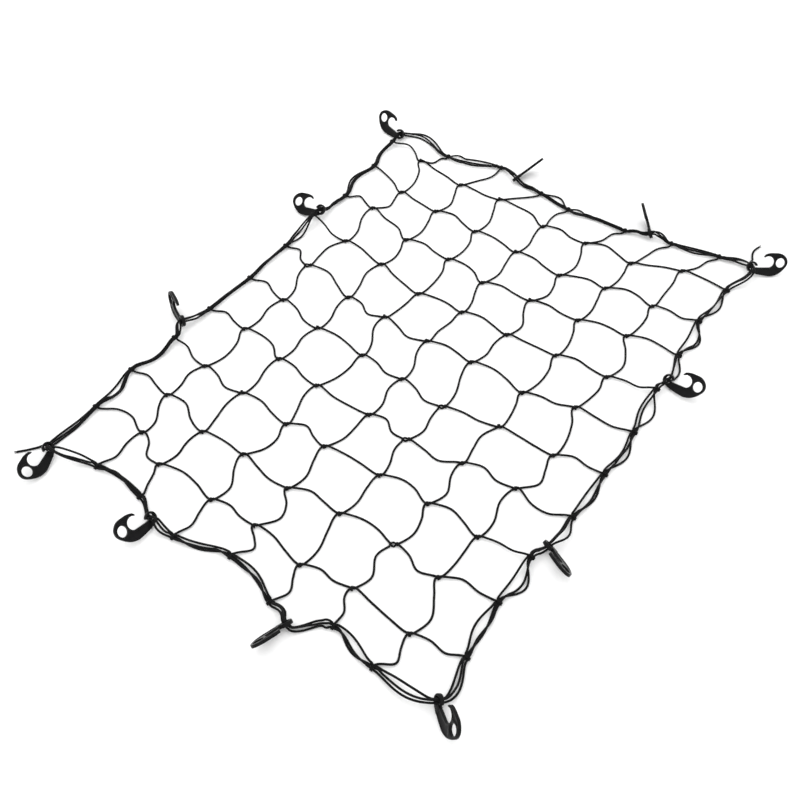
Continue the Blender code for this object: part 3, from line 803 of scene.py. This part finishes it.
@dataclass(frozen=True)
class MouldedNylon:
    """Black injection-moulded nylon, as hooks have: dark, with a soft satin gloss.

    The mould leaves a very fine grain, and handling dulls and lightens it in patches.
    """

    name: str = "moulded_black_nylon"
    dark: str = "#040405"
    light: str = "#0e0e0f"
    grain: float = 0.45              # of the mould's face, in millimetres
    patches: float = 90.0            # scale of handled patches
    bump: tuple = (0.35, 0.0001)     # strength, and depth in metres
    roughness: tuple = (0.26, 0.4)
    gloss: float = 0.12

    def build(self) -> Material:
        """Make the material on the piece's own Object coordinates."""
        made, tree, shader = start_material(self.name)
        grain = speckle(tree, 1 / (self.grain * MM), 3.0)
        handled = speckle(tree, self.patches, 4.0, Roughness=0.6)
        bump = add_node(tree, "ShaderNodeBump", inputs={
            "Strength": self.bump[0], "Distance": self.bump[1], "Height": grain})
        plug(tree, shader, {
            "Base Color": blend(tree, handled, self.dark, self.light, (0.35, 0.7)),
            "Roughness": stretch(tree, handled, 0.3, 0.7, self.roughness),
            "Normal": bump.outputs["Normal"], "Specular IOR Level": self.gloss})
        return made


@dataclass(frozen=True)
class PaleFloor:
    """Matt white card under the net: it takes only the faintest soft shadow."""

    name: str = "white_card"
    colour: str = "#fbfbfb"
    roughness: float = 0.9
    gloss: float = 0.1

    def build(self) -> Material:
        """Make the material."""
        made, tree, shader = start_material(self.name)
        plug(tree, shader, {"Base Color": from_hex(self.colour), "Roughness": self.roughness,
                            "Specular IOR Level": self.gloss})
        return made


# ---------------------------------------------------------------- objects
def link(name: str, data: ID) -> Object:
    """Put an object with the given data into the scene."""
    made = bpy.data.objects.new(name, data)
    bpy.context.scene.collection.objects.link(made)
    return made


def add_piece(name: str, mesh: Mesh, finish: Material | None = None) -> Object:
    """Put a piece into the scene.

    Args:
        name: Its name.
        mesh: Its mesh, in the shared frame.
        finish: Its material, where the mesh has none yet.

    Returns:
        The piece.
    """
    if finish is not None:
        mesh.materials.clear()
        mesh.materials.append(finish)
    return link(name, mesh)


def modified(thing: Object) -> Mesh:
    """Return the plain mesh that an object's modifiers give."""
    bpy.context.view_layer.update()
    return bpy.data.meshes.new_from_object(thing.evaluated_get(bpy.context.evaluated_depsgraph_get()))


def pose(place: Vector, *axes: Vector) -> Matrix:
    """Return the matrix that turns a thing to the given axes and moves it to a place."""
    return Matrix.Translation(place) @ Matrix([list(axis) for axis in axes]).transposed().to_4x4()


def finish_piece(piece: Object, slot: str, *nodes: str) -> Object:
    """Hide the CAD nodes that a piece replaces, hang it on the root body, and report its faces.

    Args:
        piece: The piece.
        slot: The record's material slot; not used.
        nodes: The CAD nodes that it replaces, if any.

    Returns:
        The piece.
    """
    if nodes:
        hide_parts(*nodes)
    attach(piece, "root")
    LOG.info("%s: %d faces", piece.name, len(piece.data.polygons))
    return piece


# ---------------------------------------------------------------- sweeping cords
@dataclass(frozen=True)
class CordSweep:
    """Sweeps a round, braided cord along its middle lines with Geometry Nodes."""

    sides: int = 10

    def tree(self) -> NodeTree:
        """Build the node tree.

        Returns:
            A tree that sweeps a circle, notes each point's place in the braid and sets the finish.
        """
        name = "sweep_cord"
        if name in bpy.data.node_groups:
            return bpy.data.node_groups[name]
        tree = bpy.data.node_groups.new(name, "GeometryNodeTree")
        for socket, way, kind in (("Lines", "INPUT", "Geometry"), ("Sides", "INPUT", "Int"),
                                  ("Finish", "INPUT", "Material"), ("Cord", "OUTPUT", "Geometry")):
            tree.interface.new_socket(socket, in_out=way, socket_type="NodeSocket" + kind)
        given = add_node(tree, "NodeGroupInput")
        along = add_node(tree, "GeometryNodeSplineParameter")
        line = add_node(tree, "GeometryNodeCaptureAttribute", {"domain": "POINT"},
                        {"Geometry": given.outputs["Lines"]})
        line.capture_items.new("FLOAT", "Length")
        tree.links.new(along.outputs["Length"], line.inputs["Length"])
        ring = add_node(tree, "GeometryNodeCurvePrimitiveCircle", {"mode": "RADIUS"},
                        {"Resolution": given.outputs["Sides"], "Radius": 1.0})
        place = add_node(tree, "GeometryNodeInputPosition")
        girth = add_node(tree, "GeometryNodeCaptureAttribute", {"domain": "POINT"},
                         {"Geometry": ring.outputs["Curve"]})
        girth.capture_items.new("VECTOR", "Girth")
        tree.links.new(place.outputs["Position"], girth.inputs["Girth"])
        swept = add_node(tree, "GeometryNodeCurveToMesh", inputs={
            "Curve": line.outputs["Geometry"], "Profile Curve": girth.outputs["Geometry"],
            "Fill Caps": True})
        if "Scale" in swept.inputs:
            radius = add_node(tree, "GeometryNodeInputRadius")
            tree.links.new(radius.outputs["Radius"], swept.inputs["Scale"])
        parts = add_node(tree, "ShaderNodeSeparateXYZ", inputs={0: girth.outputs["Girth"]})
        braid = add_node(tree, "ShaderNodeCombineXYZ", inputs={
            "X": parts.outputs["X"], "Y": parts.outputs["Y"], "Z": line.outputs["Length"]})
        noted = add_node(tree, "GeometryNodeStoreNamedAttribute",
                         {"data_type": "FLOAT_VECTOR", "domain": "POINT"},
                         {"Geometry": swept.outputs["Mesh"], "Name": "braid",
                          "Value": braid.outputs["Vector"]})
        smooth = add_node(tree, "GeometryNodeSetShadeSmooth", inputs={
            "Geometry": noted.outputs["Geometry"]})
        whole = add_node(tree, "GeometryNodeRealizeInstances", inputs={
            "Geometry": smooth.outputs["Geometry"]})
        dressed = add_node(tree, "GeometryNodeSetMaterial", inputs={
            "Geometry": whole.outputs["Geometry"], "Material": given.outputs["Finish"]})
        add_node(tree, "NodeGroupOutput", inputs={"Cord": dressed.outputs["Geometry"]})
        return tree

    def make(self, name: str, paths: list[CordPath], finish: Material) -> Object:
        """Sweep cords into one piece.

        Args:
            name: The piece's name.
            paths: The middle lines of its cords.
            finish: Its material.

        Returns:
            The piece, a plain mesh at the origin.
        """
        curve = bpy.data.curves.new(name, "CURVE")
        curve.dimensions = "3D"
        for path in paths:
            spline = curve.splines.new("POLY")
            spline.points.add(len(path.points) - 1)
            for point, place, radius in zip(spline.points, path.points, path.radii):
                point.co = (*to_frame(place), 1.0)
                point.radius = radius * MM
            spline.use_cyclic_u = path.closed
        lines = link(name + "_lines", curve)
        sweep = lines.modifiers.new("sweep", "NODES")
        sweep.node_group = self.tree()
        sockets = {item.name: item.identifier for item in sweep.node_group.interface.items_tree}
        sweep[sockets["Sides"]] = self.sides
        sweep[sockets["Finish"]] = finish
        mesh = modified(lines)
        mesh.name = name
        bpy.data.objects.remove(lines)
        bpy.data.curves.remove(curve)
        return add_piece(name, mesh)


# ---------------------------------------------------------------- the mesh
class BorderBundle:
    """The border's three strands between its stations, crossing and resting on each other."""

    touch = 3.7                      # between the middles of two cords that touch
    least = 2.9                      # between two cords that lean on each other, seen from above
    lens = 7.0                       # two cords further apart than this keep clear of each other
    sway = 4.0                       # how far the upper cord wanders over the others
    least_sway = 0.15                # the share of it left where the cords lie apart
    eye_edge = 0.4                   # the share of an eye's bulge that the edge strand gives way
    spacing = 2.6

    def __init__(self, layout: NetLayout, stations: list[Station]) -> None:
        """Lay every span.

        Args:
            layout: The net's layout.
            stations: Its stations, clockwise.
        """
        self.layout = layout
        self.stations = stations
        self.spans = [self.span(index) for index in range(len(stations))]

    def span(self, index: int) -> dict[Run, list[Vector]]:
        """Lay the three strands from a station to the next.

        Args:
            index: The first station's number.

        Returns:
            Each strand's places, without the stations' own.
        """
        first, second = self.stations[index], self.stations[(index + 1) % len(self.stations)]
        draw = random.Random(index * 13 + 3)
        name, outer, inner, edge = SPANS[index]
        outward = -(second.place - first.place).cross(UP).normalized()
        swapped = outward.x > outward.y and not first.is_hook and not second.is_hook
        upper, lower = (Run.OUTER, Run.INNER) if swapped else (Run.INNER, Run.OUTER)
        apart = outer - inner
        missing = max(self.least - (outer - edge), 0.0) / 2
        bows = {upper: inner, lower: outer + missing, Run.EDGE: edge - missing}
        sway = self.sway * max(1 - apart / self.lens, self.least_sway) * draw.choice((-1, 1))
        sway *= min((second.place - first.place).length / self.layout.pitch, 1.0) ** 2
        steps = max(round((second.place - first.place).length * EXTRA / self.spacing), 6)
        lines = {run: [self.layout.span_point(run, first, second, bow, i / steps)
                       for i in range(1, steps)] for run, bow in bows.items()}
        for i, place in enumerate(lines[upper], 1):
            t = i / steps
            place += outward * (sway * math.sin(2 * math.pi * t) * math.sin(math.pi * t))
        share, bulge = EYES.get(name, (0.0, 0.0))
        for i in range(round(share * steps)):
            aside = outward * (bulge * math.sin(math.pi * (i + 1) / steps / share))
            lines[Run.OUTER][i] += aside
            lines[Run.EDGE][i] -= aside * self.eye_edge
        self.rest(lines[Run.EDGE], [lines[lower]])
        self.rest(lines[upper], [lines[lower], lines[Run.EDGE]])
        return lines

    def rest(self, upper: list[Vector], others: list[list[Vector]]) -> None:
        """Lift a cord where it lies on others.

        Args:
            upper: Its places.
            others: The places of the cords below it.
        """
        for i, place in enumerate(upper):
            for other in others:
                beside = min((place - under).to_2d().length for under in other[max(i - 1, 0):i + 2])
                if beside < self.touch:
                    place.z = max(place.z, other[i].z + math.sqrt(self.touch ** 2 - beside ** 2))
        heights = [place.z for place in upper]
        for i in range(1, len(upper) - 1):
            upper[i].z = heights[i] / 2 + (heights[i - 1] + heights[i + 1]) / 4


@dataclass
class KnottedMesh:
    """The knotted square mesh with its own edge cord."""

    layout: NetLayout
    stations: list[Station]
    bundle: BorderBundle
    radius: float = 1.9
    squeezed: float = 1.45           # the cord's radius inside a knot drawn tight
    spacing: float = 2.6
    core_height: float = 3.7         # of a knot's middle
    flat: float = 0.8                # how much lower a knot is than wide
    wrap_radius: float = 3.0         # of the turns round it
    wrap_half: float = 3.1           # half the length of those turns
    lean: tuple = (-1.2, 0.7)        # how far its middle hangs to the near or the far side
    nub: tuple = (0.8, 1.6)          # least and most height of its lump
    nub_turn: tuple = (176.0, 60.0)  # where its lump sits, on the near or the far side
    nub_width: float = 75.0          # degrees
    nub_fade: tuple = (1.25, 1.6)    # towards the knot's ends
    tightness: tuple = (0.9, 1.1)
    gather: float = 1.9              # how soon a cord reaches the knot's turns or its core
    squeeze: float = 2.4             # how soon it is squeezed
    short_turn: float = 250.0        # a cord with less than this to turn goes round once more
    # An eye with a tie beside it: along the knot, across it (as the row's cord goes) and up.
    open_route: tuple = ((-1.0, 1.65, 0.0), (-0.75, 0.2, 0.0), (-0.35, -3.2, 0.0), (0.1, -3.4, 0.3),
                         (0.45, -1.2, 1.0), (0.72, 1.9, 2.2), (0.9, 0.4, 3.4), (0.8, -2.2, 1.8),
                         (1.0, -1.65, 0.0))
    open_half: float = 6.5           # half the length of an open knot
    open_squeeze: float = 0.9
    open_low: float = 0.35           # how much of the route's height the column's cord keeps
    open_over: tuple = (-0.75, 0.3, 4.0)  # where, how long and how high it steps over the row's cord
    knot_samples: int = 40
    tucked: tuple = (4.2, 1.6)       # where a cord ends inside a hitch
    ease_times: int = 2
    wraps: int = 2                   # turns of a hitch round the border cords
    band: tuple = (-0.05, 4.9, 3.0)  # a hitch's turns: middle, half width and half height
    band_half: float = 2.4
    band_radius: float = 1.3
    gathered: float = 3.1            # the edge cord in a claw, which it fills

    def knot(self, key: tuple[int, int], ports: tuple[Port, Port], wrapping: bool) -> CordPath:
        """Carry a cord through a knot, from its west end to its east end.

        Args:
            key: The knot's row and column.
            ports: Where it comes in and goes out.
            wrapping: Whether this cord wraps round the other or is the core.

        Returns:
            The cord inside the knot.
        """
        path = CordPath()
        centre = self.layout.knot_centre(*key)
        if key in OPEN_KNOTS:
            self.open_knot(path, centre, ports[0] is Port.WEST)
            return path
        draw = random.Random(key[0] * 31 + key[1] * 7 + 5)
        way = draw.choice((-1, 1))
        nub, nub_side = draw.uniform(*self.nub), self.nub_turn[key in NUB_ABOVE]
        tight = draw.uniform(*self.tightness)
        along, across = self.layout.knot_axes()
        half = self.layout.knot_half
        (first, first_reach), (last, last_reach) = (self.exit_turn(port) for port in ports)
        if wrapping:
            last += 360.0 * (math.floor((first - last) / 360.0) + 1) if way > 0 else 0.0
            last -= 360.0 * (math.floor((last - first) / 360.0) + 1) if way < 0 else 0.0
            last += way * 360.0 * (2 if abs(last - first) < self.short_turn else 1)
        for i in range(self.knot_samples + 1):
            w = 2 * i / self.knot_samples - 1
            inward = ease((1 - abs(w)) * self.gather)
            radius = self.radius + (self.squeezed - self.radius) * ease((1 - abs(w)) * self.squeeze)
            outer_reach = first_reach if w < 0 else last_reach
            if wrapping:
                u = (half - self.wrap_half) * w ** 5 + self.wrap_half * w * tight ** (1 - abs(w))
                angle = first + (last - first) * ease((w + 1) / 2)
                reach = outer_reach + (self.wrap_radius - outer_reach) * inward
                off = (angle - nub_side + 180.0) % 360.0 - 180.0
                fade = ease(self.nub_fade[0] - abs(w) * self.nub_fade[1])
                reach += nub * math.exp(-(off / self.nub_width) ** 2) * fade
            else:
                u, reach = half * w, outer_reach * (1 - inward)
                angle = first if w < 0 else last
            v = reach * math.cos(math.radians(angle)) + self.lean[key in NUB_ABOVE] * inward
            z = self.core_height + self.flat * reach * math.sin(math.radians(angle))
            path.add(centre + along * u + across * v + UP * z, radius)
        return path

    def exit_turn(self, port: Port) -> tuple[float, float]:
        """Return a knot's exit as a turn round its axis and a distance from it."""
        aside, height = self.layout.cord_exits[port]
        rise = (height - self.core_height) / self.flat
        return math.degrees(math.atan2(rise, aside)), math.hypot(aside, rise)

    def open_knot(self, path: CordPath, centre: Vector, wrapping: bool) -> None:
        """Carry a cord through a knot that was drawn tight only at one end.

        Args:
            path: The cord so far, from the west.
            centre: The knot's middle.
            wrapping: Whether this is the row's cord.
        """
        along, across = self.layout.knot_axes()
        side = 1 if wrapping else -1
        over, width, height = self.open_over
        places = []
        for u, v, z in self.open_route:
            step_over = height * math.exp(-((u - over) / width) ** 2)
            lift = z if wrapping else z * self.open_low + step_over
            places.append(centre + along * (u * self.open_half) + across * (side * v)
                          + UP * (self.layout.lying + lift))
        for place in through(places, 4):
            path.add(place, self.radius * self.open_squeeze)
        path.add(places[-1], self.radius)

    def outlet(self, key: tuple, port: Port | None) -> Outlet:
        """Find where a strand leaves a knot or a hitch.

        Args:
            key: The knot's row and column, or the hitch's station.
            port: Its end of the knot, or None at a hitch.

        Returns:
            The outlet.
        """
        if port is None:
            place = key[0].at(0.0, *self.layout.band_side)
            return Outlet(place, place, key[0].right)
        return self.layout.port(self.layout.knot_centre(*key), port)

    def strand(self, first: tuple, second: tuple, letters: str) -> MeshStrand:
        """Return the strand between two outlets, each a (key, port)."""
        return MeshStrand(self.outlet(*first), self.outlet(*second), letters, self.layout.slack,
                          self.layout.bend)

    def tuck(self, path: CordPath, station: Station, arriving: bool) -> None:
        """Begin or end a cord inside a hitch.

        Args:
            path: The cord.
            station: The hitch.
            arriving: Whether the cord ends here.
        """
        tucked = [station.at(0.0, *self.tucked), station.at(0.0, *self.layout.band_side)]
        for place in (reversed(tucked) if arriving else tucked):
            path.add(place, self.radius)

    def line(self, ends: tuple[str, str], keys: list, letters: list[str], southward: bool) -> CordPath:
        """Lay a cord from a hitch, through its knots, to the hitch across the net.

        Args:
            ends: The two hitches.
            keys: Row and column of each knot.
            letters: The lie of each strand.
            southward: Whether it is a column's cord and not a row's.

        Returns:
            The cord.
        """
        hitched = {station.name: station for station in self.stations}
        start, end = (hitched[name] for name in ends)
        entry, leaving = (Port.NORTH, Port.SOUTH) if southward else (Port.WEST, Port.EAST)
        path = CordPath()
        self.tuck(path, start, False)
        before = ((start,), None)
        for key, lie in zip(keys, letters):
            self.strand(before, (key, entry), lie).lay(path, self.radius, self.spacing)
            ports = (leaving, entry) if southward else (entry, leaving)
            tied = self.knot(key, ports, (sum(key) % 2 == 1) == southward)
            laid = list(zip(tied.points, tied.radii))
            for place, radius in (reversed(laid) if southward else laid):
                path.add(place, radius)
            before = (key, leaving)
        self.strand(before, ((end,), None), letters[-1]).lay(path, self.radius, self.spacing)
        self.tuck(path, end, True)
        path.relax(self.ease_times)
        return path

    def rows(self) -> list[CordPath]:
        """Return the cords that run from west to east."""
        columns = range(1, self.layout.columns + 1)
        return [self.line((f"west_{row + 1}", f"east_{row + 1}"), [(row, column) for column in columns],
                          lie.split(), False) for row, lie in enumerate(ROW_LIE)]

    def columns(self) -> list[CordPath]:
        """Return the cords that run from north to south."""
        rows = range(self.layout.rows)
        return [self.line((f"north_{column}", f"south_{column}"), [(row, column) for row in rows],
                          [lie.split()[column - 1] for lie in COLUMN_LIE], True)
                for column in range(1, self.layout.columns + 1)]

    def edge(self) -> CordPath:
        """Return the mesh's own edge cord, wrapped round the border cords at every hitch."""
        path = CordPath(closed=True)
        middle, wide, high = self.band
        for index, station in enumerate(self.stations):
            if station.is_hook:
                station.thread(path, self.layout.in_claw(Run.EDGE), self.radius, self.gathered)
            else:
                path.add(station.at(-station.straight, *self.layout.in_hitch(Run.EDGE)), self.radius)
                steps = self.wraps * 14
                for i in range(steps + 1):
                    turn = math.radians(360.0 * self.wraps * i / steps)
                    place = station.at(self.band_half * (2 * i / steps - 1),
                                       middle + wide * math.cos(turn), high * math.sin(turn))
                    path.add(place, self.band_radius)
                path.add(station.at(station.straight, *self.layout.in_hitch(Run.EDGE)), self.radius)
            for place in self.bundle.spans[index][Run.EDGE]:
                path.add(place, self.radius)
        path.relax(1)
        return path


@dataclass
class BorderCord:
    """One of the two turns of the border cord, through every hitch and claw."""

    bundle: BorderBundle
    run: Run
    radius: float = 1.85
    squeezed: float = 1.8
    gathered: float = 3.1            # in a claw, where the cord bunches up and fills it

    def path(self) -> CordPath:
        """Return its closed middle line."""
        path = CordPath(closed=True)
        layout = self.bundle.layout
        for index, station in enumerate(self.bundle.stations):
            place = layout.in_claw(self.run) if station.is_hook else layout.in_hitch(self.run)
            middle = self.gathered if station.is_hook else self.squeezed
            station.thread(path, place, self.radius, middle)
            for place in self.bundle.spans[index][self.run]:
                path.add(place, self.radius)
        path.relax(1)
        return path


@dataclass(frozen=True)
class FreeEnd:
    """A free end of the border cord, cut off bare, with its rubber and sheath threads frayed."""

    name: str
    radius: float = 2.0
    threads: int = 16
    thread_radius: float = 0.32
    thread_length: tuple = (2.5, 5.5)
    spread: float = 0.55
    thread_steps: int = 4
    thread_root: float = 0.8         # the threads start within this share of the cord's radius
    thread_lean: tuple = (0.2, 1.0)
    thread_taper: float = 0.5
    samples: int = 6
    root_length: float = 10.0
    root_share: float = 0.98         # the root is this much of the cord's radius
    root_overlap: float = 0.1        # and begins this share of its length inside the cord

    def route(self) -> CordPath:
        """Return its smooth middle line."""
        places = [Vector(place) for place in TAILS[self.name]]
        path = CordPath()
        for place in [*through(places, self.samples), places[-1]]:
            path.add(place, self.radius)
        return path

    def root(self) -> CordPath:
        """Return the hidden start of the cord, from under the claw that holds it."""
        start, next_place = (Vector(place) for place in TAILS[self.name][:2])
        backward = (start - next_place).normalized() * self.root_length
        claw = min((Vector((*place[:2], start.z)) for place in HOOKS.values()),
                   key=lambda middle: (middle - start).length)
        inward = (claw - start).normalized() * self.root_length
        path, radius = CordPath(), self.radius * self.root_share
        path.add(start - backward * self.root_overlap, radius)
        for i in range(self.samples + 1):
            path.add(hermite(start, backward, start + inward, inward, i / self.samples), radius)
        return path

    def fray(self) -> list[CordPath]:
        """Return the loose threads at its end."""
        draw = random.Random(len(self.name) + 11)
        route = self.route()
        end = route.points[-1]
        travel = (end - route.points[-3]).normalized()
        right = travel.cross(UP).normalized()
        up = right.cross(travel)
        threads = []
        for _ in range(self.threads):
            angle = draw.uniform(0, math.tau)
            out = self.radius * math.sqrt(draw.random()) * self.thread_root
            aside = right * math.cos(angle) + up * math.sin(angle)
            length = draw.uniform(*self.thread_length)
            lean = aside * draw.uniform(*self.thread_lean) * self.spread
            thread = CordPath()
            for i in range(-1, self.thread_steps + 1):
                t = i / self.thread_steps
                thread.add(end + aside * out + (travel * t + lean * max(t, 0.0) ** 2) * length,
                           self.thread_radius * (1 - self.thread_taper * max(t, 0.0)))
            threads.append(thread)
        return threads


# ---------------------------------------------------------------- hooks
@dataclass
class Hook:
    """A moulded hook: a rimmed plate with a round hole, a pointed finger and a thick claw."""

    shape: HookShape
    bevel: float = 0.55
    claw_bevel: float = 1.1
    smooth_to: float = 35.0          # edges flatter than this, in degrees, are shaded smooth

    @staticmethod
    def slab(outline: list, low: float, high: float, hole: list | None = None) -> Object:
        """Make a flat plate.

        Args:
            outline: Its corners.
            low: Its lower face.
            high: Its upper face.
            hole: The corners of a hole through it.

        Returns:
            A closed mesh object.
        """
        bm = bmesh.new()
        edges = []
        for loop in ([outline] if hole is None else [outline, hole]):
            verts = [bm.verts.new((p * MM, q * MM, low * MM)) for p, q in loop]
            edges += [bm.edges.new((verts[i - 1], verts[i])) for i in range(len(verts))]
        bmesh.ops.triangle_fill(bm, use_beauty=True, edges=edges)
        lifted = bmesh.ops.extrude_face_region(bm, geom=bm.faces[:])
        bmesh.ops.translate(bm, vec=(0.0, 0.0, (high - low) * MM),
                            verts=[g for g in lifted["geom"] if isinstance(g, bmesh.types.BMVert)])
        bmesh.ops.recalc_face_normals(bm, faces=bm.faces)
        flat = [e for e in bm.edges if len(e.link_faces) == 2 and e.calc_face_angle(1.0) < SAME_PLANE]
        bmesh.ops.dissolve_edges(bm, edges=flat, use_verts=False)
        mesh = bpy.data.meshes.new("slab")
        bm.to_mesh(mesh)
        bm.free()
        return link("slab", mesh)

    @staticmethod
    def settle(piece: Object) -> None:
        """Turn a piece's modifiers into its plain mesh.

        Args:
            piece: The piece.
        """
        mesh = modified(piece)
        piece.modifiers.clear()
        piece.data = mesh

    @staticmethod
    def round_edges(piece: Object, width: float, segments: int) -> None:
        """Round a piece's sharp edges.

        Args:
            piece: The piece.
            width: How wide the rounding is.
            segments: How many faces it has across.
        """
        rounding = piece.modifiers.new("rounding", "BEVEL")
        rounding.width = width * MM
        rounding.segments = segments
        rounding.limit_method = "ANGLE"
        rounding.angle_limit = math.radians(SHARP)
        rounding.use_clamp_overlap = True

    def join(self, piece: Object, other: Object, operation: str) -> None:
        """Unite two pieces, or cut one out of the other.

        Args:
            piece: The piece that stays.
            other: The piece that is used up.
            operation: UNION or DIFFERENCE.
        """
        joint = piece.modifiers.new("joint", "BOOLEAN")
        joint.operation = operation
        joint.solver = "EXACT"
        joint.object = other
        self.settle(piece)
        bpy.data.objects.remove(other)

    def mould(self) -> Mesh:
        """Make the hook in its own plane.

        Returns:
            Its mesh, with the claw's middle at the origin.
        """
        shape = self.shape
        plate = self.slab(shape.plate_outline(), -shape.plate_half, shape.plate_half,
                          shape.arc(shape.hole, 0, 350, 35))
        for side in (-1, 1):
            for outline in shape.recess_outlines():
                faces = sorted((side * (shape.plate_half - shape.recess), side * (shape.plate_half + 1)))
                self.join(plate, self.slab(outline, *faces), "DIFFERENCE")
        self.round_edges(plate, self.bevel, 2)
        self.settle(plate)
        claw = self.slab(shape.claw_outline(), -shape.claw_half, shape.claw_half)
        self.round_edges(claw, self.claw_bevel, 3)
        self.settle(claw)
        self.join(plate, claw, "UNION")
        mesh = plate.data
        bpy.data.objects.remove(plate)
        for face in mesh.polygons:
            face.use_smooth = True
        mesh.set_sharp_from_angle(angle=math.radians(self.smooth_to))
        return mesh

    def place(self, name: str, mould: Mesh, finish: Material) -> Object:
        """Put a hook where it lies.

        Args:
            name: The hook.
            mould: The hook in its own plane.
            finish: Its material.

        Returns:
            The piece, its place in its mesh.
        """
        mesh = mould.copy()
        mesh.transform(pose(to_frame(hook_place(name)), *hook_axes(name)))
        return add_piece("moulded_" + name, mesh, finish)


# ---------------------------------------------------------------- studio
@dataclass(frozen=True)
class Studio:
    """The photograph's camera, the pale floor and soft light from the upper left."""

    azimuth: float = 36.06
    elevation: float = 52.0
    distance: float = 1.760
    aim: tuple = (0.036, -0.101)
    focal_pixels: float = 991.0
    picture: float = 800.0
    sensor: float = 36.0
    floor_half: float = 4.0
    key_energy: float = 12.0
    key_size: float = 2.0
    key_place: tuple = (-1.5, 0.6, 2.6)
    sky: float = 1.3

    def camera(self) -> None:
        """Set the camera at the photograph's viewpoint."""
        azimuth, elevation = math.radians(self.azimuth), math.radians(self.elevation)
        back = Vector((math.sin(azimuth) * math.cos(elevation), -math.cos(azimuth) * math.cos(elevation),
                       math.sin(elevation)))
        right = Vector((math.cos(azimuth), math.sin(azimuth), 0.0))
        up = back.cross(right)
        data = bpy.data.cameras.new("camera")
        data.sensor_fit = "HORIZONTAL"
        data.sensor_width = self.sensor
        data.lens = self.sensor * self.focal_pixels / self.picture
        data.clip_start, data.clip_end = 0.05, 50.0
        camera = link("camera", data)
        place = back * self.distance + Vector((*self.aim, 0.0)) - ORIGIN * MM
        camera.matrix_world = pose(place, right, up, back)
        bpy.context.scene.camera = camera

    def floor(self) -> None:
        """Lay the floor."""
        half = self.floor_half
        mesh = bpy.data.meshes.new("floor")
        mesh.from_pydata([(-half, -half, 0), (half, -half, 0), (half, half, 0), (-half, half, 0)],
                         [], [(0, 1, 2, 3)])
        add_piece("floor", mesh, PaleFloor().build())

    def light(self) -> None:
        """Hang one broad light at the upper left and fill the rest with a white sky."""
        lamp = bpy.data.lights.new("key", "AREA")
        lamp.energy = self.key_energy
        lamp.size = self.key_size
        place = Vector(self.key_place)
        turn = place.to_track_quat("Z", "Y").to_matrix().to_4x4()
        link("key", lamp).matrix_world = Matrix.Translation(place) @ turn
        world = bpy.data.worlds.new("sky")
        world.use_nodes = True
        sky = world.node_tree.nodes["Background"]
        sky.inputs["Color"].default_value = (1.0, 1.0, 1.0, 1.0)
        sky.inputs["Strength"].default_value = self.sky
        bpy.context.scene.world = world
        bpy.context.scene.view_settings.view_transform = "Standard"


def main() -> None:
    """Build the scene: camera and free cords first, then the net, the border and the hooks."""
    studio = Studio()
    studio.camera()
    cord = BraidedElastic().build()
    sweep = CordSweep()
    for name in TAILS:
        free = FreeEnd(name)
        route = free.route()
        piece = finish_piece(sweep.make("cord_" + name, [route], cord), "border_cord", name)
        fray = CordSweep(sides=5).make("fray_" + name, free.fray(), cord)
        root = sweep.make("root_" + name, [free.root()], cord)
        for extra in (fray, root):
            finish_piece(extra, "border_cord")
    layout = NetLayout()
    stations = layout.stations()
    bundle = BorderBundle(layout, stations)
    net = KnottedMesh(layout, stations, bundle)
    for name, paths in (("rows", net.rows()), ("columns", net.columns()), ("edge", [net.edge()])):
        finish_piece(sweep.make("mesh_" + name, paths, cord), "mesh_cord", "mesh_net")
    for run in (Run.OUTER, Run.INNER):
        name = f"border_cord_{run.name.lower()}"
        path = BorderCord(bundle, run).path()
        finish_piece(sweep.make("laid_" + name, [path], cord), "border_cord", name)
    nylon = MouldedNylon().build()
    hook = Hook(SHAPE)
    mould = hook.mould()
    for name in HOOKS:
        finish_piece(hook.place(name, mould, nylon), "hook_plastic", name)
    studio.floor()
    studio.light()


if __name__ == "__main__":
    logging.basicConfig(level=logging.INFO)
    main()
